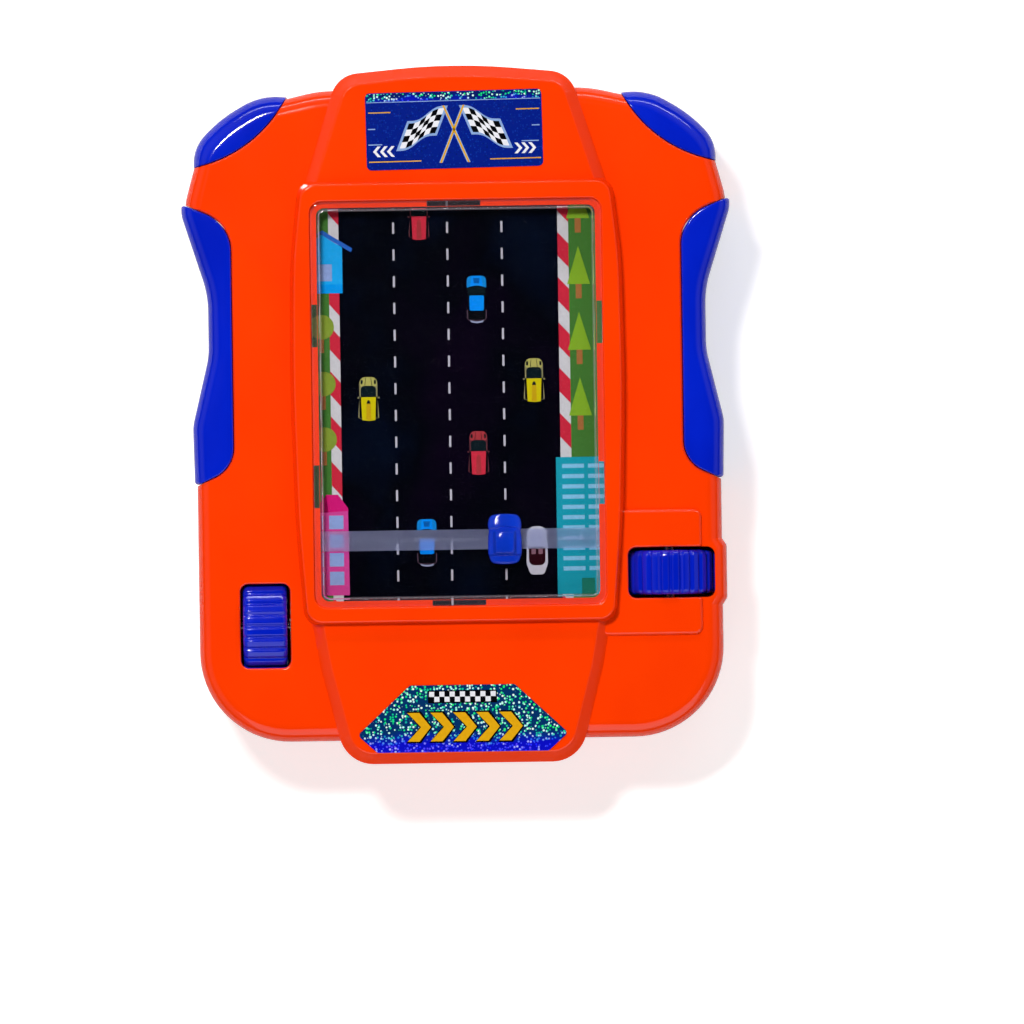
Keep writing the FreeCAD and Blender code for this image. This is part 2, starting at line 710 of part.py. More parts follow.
def front_inside():
    """Posts, keepers and rail pads inside the front half."""
    inside = []
    for x, y, top in CASE_SCREW_SPOTS:
        for side in (1, -1):
            post = cylinder(FRONT_BOSS_R, (side * x, y, PARTING_Z), (side * x, y, top - WALL / 2))
            hole = cylinder(SCREW_SHANK_R + PRESS_FIT, (side * x, y, PARTING_Z - PAST),
                            (side * x, y, CASE_SCREW_SEAT_Z + CASE_SCREW_LENGTH + PILOT_DEPTH))
            inside.append(post.cut(hole))
    for spot in RIBS:
        inside.append(rib(spot, KEEPER_HALF, spot[2] + RIB_TOP_ABOVE_AXIS, LOBE_Z - WALL / 2))
    pad = box(SIDE_FRAME_X, SIDE_FRAME_X + RAIL_PAD, CORD_Y - RAIL_WIDTH / 2, CORD_Y + RAIL_WIDTH / 2,
              RAIL_Z + RAIL_T, COLUMN_Z - WALL + PAD_ROOT)
    return inside + [pad, mirrored(pad)]


def front_shell():
    """Front half of the case."""
    bezel_top = COLUMN_Z + BEZEL_RISE
    hollow = case_cavity(PARTING_Z - PAST, LOBE_Z - WALL, COLUMN_Z - WALL, WALL, COLUMN_INSET)
    swell_hollow = box(STEER_X, BULGE_X - BULGE_WALL, BULGE_Y[0] + BULGE_END_WALL,
                       BULGE_Y[1] - BULGE_END_WALL, PARTING_Z - PAST, LOBE_Z - WALL)
    shell = front_outside().cut(join([hollow, swell_hollow]))

    recess = round_rectangle(FRAME_HALF_WIDTH, FRAME_LOW_Y, FRAME_TOP_Y, FRAME_CORNER_R,
                             LENS_UNDER_Z, bezel_top + PAST)
    window = round_rectangle(FRAME_HALF_WIDTH - LEDGE, FRAME_LOW_Y + LEDGE, FRAME_TOP_Y - LEDGE,
                             CLEAR_CORNER_R, LOBE_Z - 2 * WALL, bezel_top + PAST)
    shell = shell.cut(recess)
    shell = round_edges(shell, BEZEL_INNER_ROUND, bezel_top,
                        lambda p: in_box(p, FRAME_HALF_WIDTH, FRAME_LOW_Y, FRAME_TOP_Y))
    shell = shell.cut(window)
    for x, y, half_x, half_y, face_z in thumb_openings():
        opening = round_rectangle(half_x, y - half_y, y + half_y, OPENING_CORNER_R,
                                  LOBE_Z - 2 * WALL, bezel_top, x)
        shell = round_edges(shell.cut(opening), OPENING_EDGE_ROUND, face_z,
                            lambda p: in_box(p, half_x, y - half_y, y + half_y, x))
    for x0, x1, y0, y1, _ in lens_tabs(TAB_GAP):
        shell = shell.cut(box(x0, x1, y0, y1, LOBE_Z - 2 * WALL, LENS_UNDER_Z))
    for cut in side_pockets() + seam_bevels():
        shell = shell.cut(cut)

    half_y = RAIL_WIDTH / 2 + RAIL_POCKET_GAP
    rail_end = box(-RAIL_HALF_LENGTH - RAIL_POCKET_GAP, RAIL_HALF_LENGTH + RAIL_POCKET_GAP,
                   CORD_Y - half_y, CORD_Y + half_y, RAIL_Z - 2 * RAIL_T, RAIL_Z + RAIL_T)
    return join([shell] + front_inside()).cut(rail_end)


def back_outside():
    """Rear half of the case as one full block."""
    lobes = round_edges(prism(outline(LOBES), 0.0, PARTING_Z), BACK_ROUND, 0.0)
    header_foot_y = HEADER[-1][1]
    nose_start_y = NOSE[0][1]
    header = both_halves(HEADER[:-1] + [(HEADER_FOOT[0], header_foot_y, 0.0)])
    header = round_edges(block(header, 0.0, PARTING_Z), BACK_ROUND, 0.0,
                         lambda p: p.y > header_foot_y + BACK_ROUND)
    nose = both_halves([(NOSE_START[0], nose_start_y, 0.0)] + NOSE[1:])
    nose = round_edges(block(nose, 0.0, PARTING_Z), BACK_ROUND, 0.0,
                       lambda p: p.y < nose_start_y - WALL)
    return join([lobes, header, nose, bulge(BULGE_LOW_Z, PARTING_Z)])


def floor_fill(outside):
    """Thickening round the edge of the floor, where the outer rounding thins the corner."""
    width, height = FLOOR_FILL
    top = WALL + height
    middle = case_cavity(WALL - PAST, top + PAST, top + PAST, WALL + width, WALL + width)
    rim = case_cavity(WALL - PRESS_FIT, top, top, WALL, WALL).cut(middle)
    return rim.common(outside)


def back_shell():
    """Rear half of the case, with the bearing ribs and the screw bosses."""
    outside = back_outside()
    hollow = case_cavity(WALL, PARTING_Z + PAST, PARTING_Z + PAST, WALL, WALL)
    shell = outside.cut(hollow).fuse(floor_fill(outside))

    inside = []
    holes = []
    for x, y, _ in CASE_SCREW_SPOTS:
        for side in (1, -1):
            inside.append(cylinder(BACK_BOSS_R, (side * x, y, WALL / 2), (side * x, y, PARTING_Z)))
            holes.append(cylinder(RECESS_R, (side * x, y, -PAST), (side * x, y, CASE_SCREW_SEAT_Z)))
            holes.append(cylinder(SCREW_SHANK_R + SCREW_CLEARANCE, (side * x, y, 0.0),
                                  (side * x, y, PARTING_Z + PAST)))
    for side in (1, -1):
        for y in FOOT_YS:
            x = side * (SIDE_FRAME_X + SIDE_FRAME_T + FOOT_REACH - FOOT_HALF)
            boss_top = WALL + FOOT_BOSS_H
            inside.append(cylinder(FOOT_BOSS_R, (x, y, WALL / 2), (x, y, boss_top)))
            holes.append(cylinder(SMALL_SCREW_R + PRESS_FIT, (x, y, WALL / 2), (x, y, boss_top + PAST)))
    for spot in RIBS:
        inside.append(rib(spot, spot[4], WALL / 2, spot[2] + RIB_TOP_ABOVE_AXIS))
    peg_z = STEER_Z - STOP_R
    peg_y = RIBS[0][1] - RIB_T / 2.0
    inside.append(box(STEER_X - STOP_SIZE / 2, STEER_X + STOP_SIZE / 2, peg_y - STOP_HEIGHT, peg_y + RIB_T / 2,
                      peg_z - STOP_SIZE / 2, peg_z + STOP_SIZE / 2))
    shell = join([shell] + inside)
    for spot in RIBS:
        holes.append(shaft_notch(spot[:3], spot[3], spot[2] + RIB_TOP_ABOVE_AXIS))
    for cut in holes + side_pockets():
        shell = shell.cut(cut)
    return shell.removeSplitter()


def gear_outline(teeth, turn_deg):
    """Involute gear profile about the origin, its first tooth at an angle."""
    pitch_r = GEAR_MODULE * teeth / 2.0
    pressure = math.radians(PRESSURE_DEG)
    base_r = pitch_r * math.cos(pressure)
    tip_r = pitch_r + TOOTH_ADDENDUM * GEAR_MODULE
    root_r = pitch_r - TOOTH_DEDENDUM * GEAR_MODULE
    half_tooth = (math.pi * GEAR_MODULE / 2.0 - BACKLASH) / 2.0 / pitch_r
    roll_pitch = math.tan(pressure) - pressure

    def flank(radius):
        """Half angle of a tooth at a radius: the involute narrows it outwards."""
        if radius <= base_r:
            return half_tooth + roll_pitch
        angle = math.acos(base_r / radius)
        return half_tooth + roll_pitch - (math.tan(angle) - angle)

    def at(radius, angle):
        return vec(radius * math.cos(angle), radius * math.sin(angle))

    start_r = max(base_r, root_r)
    radii = [start_r + (tip_r - start_r) * i / FLANK_STEPS for i in range(FLANK_STEPS + 1)]
    edges = []
    pitch_angle = 2.0 * math.pi / teeth
    for i in range(teeth):
        middle = math.radians(turn_deg) + i * pitch_angle
        rise = [at(root_r, middle - flank(root_r))] if root_r < base_r else []
        rise += [at(r, middle - flank(r)) for r in radii]
        fall = [at(r, middle + flank(r)) for r in reversed(radii)]
        fall += [at(root_r, middle + flank(root_r))] if root_r < base_r else []
        following = at(root_r, middle + pitch_angle - flank(root_r))
        points = rise + fall + [following]
        for a, b in zip(points, points[1:]):
            edges.append(Part.makeLine(a, b))
    return Part.Wire(edges)


def gear(teeth, face_width, start, turn_deg):
    """Gear with its axis along X, bored for the shaft."""
    wheel = Part.Face(gear_outline(teeth, turn_deg)).extrude(vec(0, 0, face_width))
    bore = cylinder(SHAFT_R + PRESS_FIT, (0, 0, -PAST), (0, 0, face_width + PAST))
    wheel = wheel.cut(bore)
    # The profile's X and Y become Y and Z, and its thickness runs along X
    turn = FreeCAD.Placement(vec(*start), FreeCAD.Rotation(vec(0, 1, 0), vec(0, 0, 1), vec(1, 0, 0), "XYZ"))
    wheel.Placement = turn
    return wheel


def thumb_wheel(radius, width):
    """Grooved wheel about Z, centred on the origin."""
    half = width / 2.0
    wheel = cylinder(radius, (0, 0, -half), (0, 0, half))
    wheel = wheel.makeFillet(THUMB_EDGE_ROUND, edges_at(wheel, half) + edges_at(wheel, -half))
    reach = radius + GROOVE_R - GROOVE_DEPTH
    for i in range(GRIP_GROOVES):
        angle = 2.0 * math.pi * i / GRIP_GROOVES
        x, y = reach * math.cos(angle), reach * math.sin(angle)
        wheel = wheel.cut(cylinder(GROOVE_R, (x, y, -half - PAST), (x, y, half + PAST)))
    return wheel.cut(cylinder(SHAFT_R + PRESS_FIT, (0, 0, -half - PAST), (0, 0, half + PAST)))


def laid_along_x(shape, centre):
    shape.rotate(vec(0, 0, 0), vec(0, 1, 0), 90.0)
    shape.translate(vec(*centre))
    return shape


def laid_along_y(shape, centre):
    shape.rotate(vec(0, 0, 0), vec(1, 0, 0), 90.0)
    shape.translate(vec(*centre))
    return shape


def roller_y():
    """Drive roller's Y: its shaft lies one gear distance from the crank shaft."""
    distance = GEAR_MODULE * (CRANK_TEETH + PINION_TEETH) / 2.0
    return CRANK_Y - math.sqrt(distance ** 2 - (BELT_Z - CRANK_Z) ** 2)


def road_belt():
    """Endless film over both rollers."""
    inner_r = ROLLER_R + RUN_FIT
    low_y = roller_y()

    def loop(r, half):
        ends = [cylinder(r, (-half, y, BELT_Z), (half, y, BELT_Z)) for y in (low_y, IDLER_Y)]
        return join(ends + [box(-half, half, low_y, IDLER_Y, BELT_Z - r, BELT_Z + r)])

    return loop(inner_r + FILM_T, FILM_HALF_WIDTH).cut(loop(inner_r, FILM_HALF_WIDTH + PAST))


def roller(y):
    bar = cylinder(ROLLER_R, (-ROLLER_HALF_LENGTH, y, BELT_Z), (ROLLER_HALF_LENGTH, y, BELT_Z))
    bore = cylinder(SHAFT_R + PRESS_FIT, (-ROLLER_HALF_LENGTH - PAST, y, BELT_Z),
                    (ROLLER_HALF_LENGTH + PAST, y, BELT_Z))
    return bar.cut(bore)


def belt_table():
    """Plate under the visible run, with flanges that the side frames are screwed to."""
    top = BELT_Z + ROLLER_R + RUN_FIT - TABLE_GAP
    low_y = roller_y() + ROLLER_R + TABLE_END_GAP
    high_y = IDLER_Y - ROLLER_R - TABLE_END_GAP
    plate = box(-SIDE_FRAME_X, SIDE_FRAME_X, low_y, high_y, top - TABLE_T, top)
    ends = edges_at(plate, top, lambda p: abs(p.x) < SIDE_FRAME_X / 2)
    plate = plate.makeFillet(TABLE_T * 0.6, ends)
    parts = [plate]
    flange_x = SIDE_FRAME_X - TABLE_FLANGE_T
    flange = box(flange_x, SIDE_FRAME_X, low_y + TABLE_FLANGE_END, high_y - TABLE_FLANGE_END,
                 top - TABLE_FLANGE_H, top - TABLE_T / 2)
    for y in TABLE_SCREW_YS:
        z = top - TABLE_SCREW_DROP
        flange = flange.cut(cylinder(SMALL_SCREW_R + PRESS_FIT, (flange_x - PAST, y, z),
                                     (SIDE_FRAME_X + PAST, y, z)))
    return join(parts + [flange, mirrored(flange)]), top


def side_frame(table_top, with_crank_hole):
    """Plate beside the belt: carries the roller shafts, the rail's end and the table."""
    inner = SIDE_FRAME_X
    outer = SIDE_FRAME_X + SIDE_FRAME_T
    low_y = roller_y() - SIDE_FRAME_PAST_ROLLER
    parts = [box(inner, outer, low_y, IDLER_Y + SIDE_FRAME_PAST_ROLLER, SIDE_FRAME_LOW_Z, table_top)]
    foot_z = WALL + FOOT_BOSS_H
    for y in FOOT_YS:
        parts.append(box(inner, outer, y - FOOT_HALF, y + FOOT_HALF, foot_z, SIDE_FRAME_LOW_Z + PAST))
        parts.append(box(inner, outer + FOOT_REACH, y - FOOT_HALF, y + FOOT_HALF, foot_z, foot_z + FOOT_T))
    for offset in (EAR_T / 2 - RAIL_WIDTH / 2, RAIL_WIDTH / 2 - EAR_T / 2):
        parts.append(box(inner, inner + EAR_REACH, CORD_Y + offset - EAR_T / 2, CORD_Y + offset + EAR_T / 2,
                         table_top - EAR_ROOT, RAIL_Z))
    frame = join(parts)

    def through(r, y, z):
        return cylinder(r, (inner - PAST, y, z), (inner + EAR_REACH + PAST, y, z))

    cuts = [through(SHAFT_R + SHAFT_FIT, y, BELT_Z) for y in (roller_y(), IDLER_Y)]
    cuts.append(through(CORD_HOLE_R, CORD_Y, STEER_Z - CORD_LOOP_R))
    slot = round_rectangle(SLOT_HALF_LENGTH, -SLOT_HALF_HEIGHT, SLOT_HALF_HEIGHT, SLOT_R,
                           -SLOT_HALF_HEIGHT, SLOT_HALF_HEIGHT)
    slot.rotate(vec(0, 0, 0), vec(0, 1, 0), 90.0)
    slot.rotate(vec(0, 0, 0), vec(1, 0, 0), 90.0)
    slot.translate(vec(inner, SLOT_CENTRE[0], SLOT_CENTRE[1]))
    cuts.append(slot)
    if with_crank_hole:
        cuts.append(through(SHAFT_R + SHAFT_FIT, CRANK_Y, CRANK_Z))
    for y in TABLE_SCREW_YS:
        cuts.append(through(SMALL_SCREW_R + SMALL_SCREW_CLEARANCE, y, table_top - TABLE_SCREW_DROP))
    for y in FOOT_YS:
        x = outer + FOOT_REACH - FOOT_HALF
        cuts.append(cylinder(SMALL_SCREW_R + SMALL_SCREW_CLEARANCE, (x, y, 0.0),
                             (x, y, foot_z + FOOT_T + PAST)))
    for cut in cuts:
        frame = frame.cut(cut)
    return frame


def screw(head_at, direction, head_r, head_h, shank_r, length):
    """Pan head screw: its head seats at a point, and its shank runs along a direction."""
    way = vec(*direction).normalize()
    seat = vec(*head_at)
    head = Part.makeCylinder(head_r, head_h, seat.sub(way * head_h), way)
    shank = Part.makeCylinder(shank_r, length, seat.sub(way * HEAD_ROOT), way)
    tip = Part.makeCone(shank_r, shank_r * 0.3, shank_r * 1.2, seat.add(way * (length - HEAD_ROOT)), way)
    slot = Part.makeCylinder(head_r * 0.42, head_h * 0.6, seat.sub(way * (head_h + PRESS_FIT)), way)
    return join([head, shank, tip]).cut(slot)


def cord_loop():
    """Endless cord: two straight runs and a half turn round the drum and round the pulley."""
    r = CORD_LOOP_R
    z = STEER_Z
    runs = [cylinder(CORD_R, (PULLEY_X, CORD_Y, z + s * r), (STEER_X, CORD_Y, z + s * r)) for s in (1, -1)]
    turns = []
    for x, start_deg in ((STEER_X, -90.0), (PULLEY_X, 90.0)):
        ring = Part.makeTorus(r, CORD_R, vec(0, 0, 0), vec(0, 0, 1), 0.0, 360.0, 180.0)
        ring.rotate(vec(0, 0, 0), vec(0, 0, 1), start_deg)
        ring.rotate(vec(0, 0, 0), vec(1, 0, 0), 90.0)
        ring.translate(vec(x, CORD_Y, z))
        turns.append(ring)
    return join(runs + turns)


def cord_drum(with_stop):
    """Flanged drum about Y with a groove that the cord lies in."""
    half = DRUM_WIDTH / 2.0
    drum = cylinder(DRUM_FLANGE_R, (0, -half, 0), (0, half, 0))
    groove_r = CORD_LOOP_R - CORD_R - CORD_FIT
    ring = cylinder(DRUM_FLANGE_R + PAST, (0, -DRUM_GROOVE_HALF, 0), (0, DRUM_GROOVE_HALF, 0))
    drum = drum.cut(ring.cut(cylinder(groove_r, (0, -half, 0), (0, half, 0))))
    if with_stop:
        stop = box(-STOP_SIZE / 2, STOP_SIZE / 2, half - STOP_ROOT, half + STOP_HEIGHT,
                   -STOP_R - STOP_SIZE / 2, -STOP_R + STOP_SIZE / 2)
        stop.rotate(vec(0, 0, 0), vec(0, 1, 0), STOP_ANGLE_DEG)
        drum = join([drum, stop])
    return drum


def car_body():
    """Small car, seen from above: a rounded body and a cabin."""
    low = RAIL_Z + RAIL_T + CAR_FLOAT
    half_x, half_y = CAR_WIDTH / 2.0, CAR_LENGTH / 2.0
    deck = low + CAR_BODY_H
    lower = round_rectangle(half_x, CORD_Y - half_y, CORD_Y + half_y, CAR_CORNER_R, low, deck, CAR_X)
    lower = round_edges(lower, CAR_EDGE_ROUND, deck)
    cabin = round_rectangle(half_x - CABIN_SIDE_INSET, CORD_Y - half_y + CABIN_REAR_INSET,
                            CORD_Y + half_y - CABIN_FRONT_INSET, CABIN_CORNER_R,
                            deck - CABIN_ROOT, deck + CABIN_H, CAR_X)
    cabin = round_edges(cabin, CABIN_EDGE_ROUND, deck + CABIN_H)
    return join([lower, cabin])


def car_carriage():
    """Slider under the car: it wraps the rail, and the cord lies in the channel of its floor."""
    inner = RAIL_WIDTH / 2 + CARRIAGE_SIDE_GAP
    outer = inner + CARRIAGE_WALL
    floor_top = RAIL_Z - CARRIAGE_FLOOR_GAP
    low = floor_top - CARRIAGE_FLOOR_T
    top = RAIL_Z + RAIL_T + CAR_FLOAT
    half = CARRIAGE_LENGTH / 2
    solid = box(CAR_X - half, CAR_X + half, CORD_Y - outer, CORD_Y + outer, low, top)
    way = box(CAR_X - half - PAST, CAR_X + half + PAST, CORD_Y - inner, CORD_Y + inner, floor_top, top + PAST)
    channel_half = CORD_R + CORD_FIT
    cord_z = STEER_Z + CORD_LOOP_R
    channel = box(CAR_X - half - PAST, CAR_X + half + PAST, CORD_Y - channel_half, CORD_Y + channel_half,
                  cord_z - channel_half, top + PAST)
    return solid.cut(way).cut(channel)


def small_screws(table_top):
    """Screws of the table's flanges and of the side frames' feet."""
    outer = SIDE_FRAME_X + SIDE_FRAME_T
    foot_top = WALL + FOOT_BOSS_H + FOOT_T
    table, feet = [], []
    for side in (1, -1):
        for y in TABLE_SCREW_YS:
            table.append(screw((side * outer, y, table_top - TABLE_SCREW_DROP), (-side, 0, 0),
                               SMALL_HEAD_R, SMALL_HEAD_H, SMALL_SCREW_R, SMALL_SCREW_LENGTH))
        for y in FOOT_YS:
            x = side * (outer + FOOT_REACH - FOOT_HALF)
            feet.append(screw((x, y, foot_top), (0, 0, -1), SMALL_HEAD_R, SMALL_HEAD_H,
                              SMALL_SCREW_R, foot_top - WALL - FOOT_SCREW_SPARE))
    return table, feet


def case_screws():
    screws = []
    for x, y, _ in CASE_SCREW_SPOTS:
        for side in (1, -1):
            screws.append(screw((side * x, y, CASE_SCREW_SEAT_Z), (0, 0, 1), SCREW_HEAD_R, SCREW_HEAD_H,
                                SCREW_SHANK_R, CASE_SCREW_LENGTH))
    return screws


def labels():
    """Thin stickers on the header and on the nose."""
    width, height = HEADER_LABEL
    header = round_rectangle(width / 2, -height / 2, height / 2, HEADER_LABEL_R, 0.0, STICKER_T)
    header.rotate(vec(0, 0, 0), vec(0, 0, 1), HEADER_LABEL_TURN_DEG)
    header.translate(vec(0, HEADER_LABEL_Y, COLUMN_Z))
    nose = block(both_halves([from_bottom(corner) for corner in NOSE_LABEL]), COLUMN_Z, COLUMN_Z + STICKER_T)
    return header, nose


def main():
    os.makedirs("parts", exist_ok=True)
    save("front_shell", front_shell())
    save("back_shell", back_shell())
    save("window_lens", window_lens())
    save("right_grip", grip())
    save("left_grip", mirrored(grip()))
    save("right_corner_bumper", bumper())
    save("left_corner_bumper", mirrored(bumper()))
    header, nose = labels()
    save("header_label", header)
    save("nose_label", nose)
    save("road_belt", road_belt())
    table, table_top = belt_table()
    save("belt_table", table)
    save("right_side_frame", side_frame(table_top, False))
    save("left_side_frame", mirrored(side_frame(table_top, True)))
    table_screws, foot_screws = small_screws(table_top)
    save("frame_screws", table_screws)
    save("frame_foot_screws", foot_screws)
    save("case_screws", case_screws())
    low_y = roller_y()
    save("drive_roller", roller(low_y))
    save("idler_roller", roller(IDLER_Y))
    shaft_end = SIDE_FRAME_X + SIDE_FRAME_T + SHAFT_PROUD
    save("drive_roller_shaft", cylinder(SHAFT_R, (PINION_X - GEAR_SHAFT_END, low_y, BELT_Z),
                                        (shaft_end, low_y, BELT_Z)))
    save("idler_roller_shaft", cylinder(SHAFT_R, (-shaft_end, IDLER_Y, BELT_Z), (shaft_end, IDLER_Y, BELT_Z)))
    mesh_deg = math.degrees(math.atan2(BELT_Z - CRANK_Z, low_y - CRANK_Y))
    save("crank_gear", gear(CRANK_TEETH, GEAR_FACE, (GEAR_X, CRANK_Y, CRANK_Z), mesh_deg))
    save("roller_pinion", gear(PINION_TEETH, PINION_FACE, (PINION_X, low_y, BELT_Z),
                               mesh_deg + 180.0 + 180.0 / PINION_TEETH))
    save("crank_wheel", laid_along_x(thumb_wheel(CRANK_R, THUMB_WIDTH), (CRANK_X, CRANK_Y, CRANK_Z)))
    save("crank_shaft", cylinder(SHAFT_R, (CRANK_RIB_X - RIB_PROUD, CRANK_Y, CRANK_Z),
                                 (-SIDE_FRAME_X - GEAR_SHAFT_END, CRANK_Y, CRANK_Z)))
    save("steering_wheel", laid_along_y(thumb_wheel(STEER_R, THUMB_WIDTH), (STEER_X, STEER_Y, STEER_Z)))
    save("steering_shaft", cylinder(SHAFT_R, (STEER_X, RIBS[1][1] - RIB_PROUD, STEER_Z),
                                    (STEER_X, RIBS[0][1] + RIB_PROUD, STEER_Z)))
    drum = cord_drum(True).cut(cylinder(SHAFT_R + PRESS_FIT, (0, -DRUM_WIDTH, 0), (0, DRUM_WIDTH, 0)))
    drum.translate(vec(STEER_X, CORD_Y, STEER_Z))
    save("cord_drum", drum)
    pulley = cord_drum(False).cut(cylinder(SHAFT_R + SHAFT_FIT, (0, -DRUM_WIDTH, 0), (0, DRUM_WIDTH, 0)))
    pulley.translate(vec(PULLEY_X, CORD_Y, STEER_Z))
    save("cord_pulley", pulley)
    save("pulley_pin", cylinder(SHAFT_R, (PULLEY_X, RIBS[3][1] - RIB_PROUD, STEER_Z),
                                (PULLEY_X, RIBS[2][1] + RIB_PROUD, STEER_Z)))
    save("drive_cord", cord_loop())
    rail = box(-RAIL_HALF_LENGTH, RAIL_HALF_LENGTH, CORD_Y - RAIL_WIDTH / 2, CORD_Y + RAIL_WIDTH / 2,
               RAIL_Z, RAIL_Z + RAIL_T)
    save("car_rail", rail)
    save("car_body", car_body())
    save("car_carriage", car_carriage())


main()
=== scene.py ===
"""Looks of a handheld crank racing toy: its case, grips, window, printed road and controls."""

import json
import logging
import math
from collections.abc import Callable
from dataclasses import dataclass, field
from enum import Enum

import bmesh
import bpy
import numpy as np
from bpy.types import ID, Material, Mesh, Node, NodeSocket, NodeTree, Object
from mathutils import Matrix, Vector

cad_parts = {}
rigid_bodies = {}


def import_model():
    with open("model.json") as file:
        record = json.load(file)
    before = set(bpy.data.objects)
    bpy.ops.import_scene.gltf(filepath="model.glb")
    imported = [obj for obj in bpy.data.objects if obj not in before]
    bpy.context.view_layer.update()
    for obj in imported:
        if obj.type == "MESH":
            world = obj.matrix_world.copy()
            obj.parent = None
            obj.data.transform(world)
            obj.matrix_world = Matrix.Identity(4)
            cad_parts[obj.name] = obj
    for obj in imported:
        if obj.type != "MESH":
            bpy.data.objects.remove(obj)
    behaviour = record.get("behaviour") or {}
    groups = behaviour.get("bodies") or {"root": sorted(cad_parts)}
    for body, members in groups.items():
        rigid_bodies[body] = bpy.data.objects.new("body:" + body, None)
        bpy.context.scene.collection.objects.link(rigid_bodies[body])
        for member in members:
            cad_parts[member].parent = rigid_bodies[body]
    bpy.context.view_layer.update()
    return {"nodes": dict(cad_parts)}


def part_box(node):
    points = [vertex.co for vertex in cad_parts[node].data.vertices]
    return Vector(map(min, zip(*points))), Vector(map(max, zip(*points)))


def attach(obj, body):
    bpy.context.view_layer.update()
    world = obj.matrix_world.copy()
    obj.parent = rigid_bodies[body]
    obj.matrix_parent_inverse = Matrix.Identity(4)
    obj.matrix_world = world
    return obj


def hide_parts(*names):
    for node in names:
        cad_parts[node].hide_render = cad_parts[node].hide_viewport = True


for leftover in list(bpy.data.objects):
    bpy.data.objects.remove(leftover)
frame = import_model()

MM = 0.001
NOISE_SPAN = (0.3, 0.7)
ARC_STEPS = 16
MERGE_MM = 0.002
SLIVER_MM = 0.001
log = logging.getLogger("toy")

Corner = tuple[float, float, float]
Stops = tuple[tuple[float, str], ...]
Surface = Callable[[np.ndarray], np.ndarray]


class Side(Enum):
    """Half of the toy that a piece lies on, as the sign of X."""

    LEFT = -1
    RIGHT = 1


class Ink(Enum):
    """Inks of the printed film and of the stickers, as sRGB hex."""

    LINE = "#c2c1cc"
    KERB_WHITE = "#d2d4d8"
    KERB_RED = "#cf2c42"
    GRASS = "#447c34"
    TREE = "#84b42e"
    LEAF = "#86a038"
    TRUNK = "#a8703e"
    HOUSE = "#1eb0fb"
    HOUSE_ROOF = "#2a68cc"
    HOUSE_FOOT = "#05a0fa"
    TOWER = "#d6489c"
    TOWER_ROOF = "#d81c7c"
    TOWER_SHADE = "#960a50"
    PANE = "#93ade4"
    OFFICE = "#1ba2b8"
    OFFICE_PANE = "#86cbee"
    OFFICE_DOOR = "#207f6c"
    RED = "#cf2f44"
    RED_DULL = "#a9363d"
    RED_TRIM = "#5a2c34"
    BLUE = "#0590fa"
    BLUE_DULL = "#1186d6"
    BLUE_TRIM = "#4c3a48"
    YELLOW = "#d2c40c"
    YELLOW_DULL = "#b2ae5c"
    YELLOW_TRIM = "#8c875e"
    STRIPE = "#c8a414"
    WHITE = "#c6c8d4"
    WHITE_DULL = "#b8bcd2"
    SEAT = "#8a6470"
    CABIN = "#2a0812"
    SCOOP = "#0a5cae"
    BUMPER = "#97a0c0"
    GLASS = "#0b1a20"
    BLACK = "#05060c"
    PAPER = "#e6e9f2"
    SKY = "#86a6da"
    GOLD = "#e0a814"
    PANEL = "#12309c"


def linear(hex_colour: str) -> tuple[float, float, float, float]:
    """Turns an sRGB hex colour into linear RGBA, by the standard's curve.

    Args:
        hex_colour: Colour such as "#ff3d00".

    Returns:
        Red, green, blue and a full alpha.
    """
    channels = [int(hex_colour[i:i + 2], 16) / 255.0 for i in (1, 3, 5)]
    red, green, blue = [c / 12.92 if c <= 0.04045 else ((c + 0.055) / 1.055) ** 2.4 for c in channels]
    return (red, green, blue, 1.0)


def add_node(tree: NodeTree, kind: str, inputs: dict | None = None, stops: Stops = (),
             **settings: object) -> Node:
    """Adds a shader node with its settings, input values and links.

    Args:
        tree: Node tree that the node joins.
        kind: Blender's type name of the node.
        inputs: Values for its inputs, by name or index. An output socket is linked instead.
        stops: Places and hex colours of a colour ramp.
        settings: Properties of the node.

    Returns:
        The new node.
    """
    node = tree.nodes.new(kind)
    for name, value in settings.items():
        setattr(node, name, value)
    for key, value in (inputs or {}).items():
        if isinstance(value, NodeSocket):
            tree.links.new(value, node.inputs[key])
        else:
            node.inputs[key].default_value = value
    for i, (place, colour) in enumerate(stops):
        elements = node.color_ramp.elements
        element = elements[i] if i < len(elements) else elements.new(place)
        element.position = place
        element.color = linear(colour)
    return node


def add_object(name: str, data: ID) -> Object:
    """Puts an object into the scene.

    Args:
        name: Name of the object.
        data: Its mesh, lamp or camera.

    Returns:
        The new object.
    """
    made = bpy.data.objects.new(name, data)
    bpy.context.scene.collection.objects.link(made)
    return made


def new_material(name: str) -> tuple[Material, NodeTree]:
    """Starts a material with an empty node tree.

    Args:
        name: Name of the material.

    Returns:
        The material and its node tree.
    """
    material = bpy.data.materials.new(name)
    material.use_nodes = True
    material.node_tree.nodes.clear()
    return material, material.node_tree


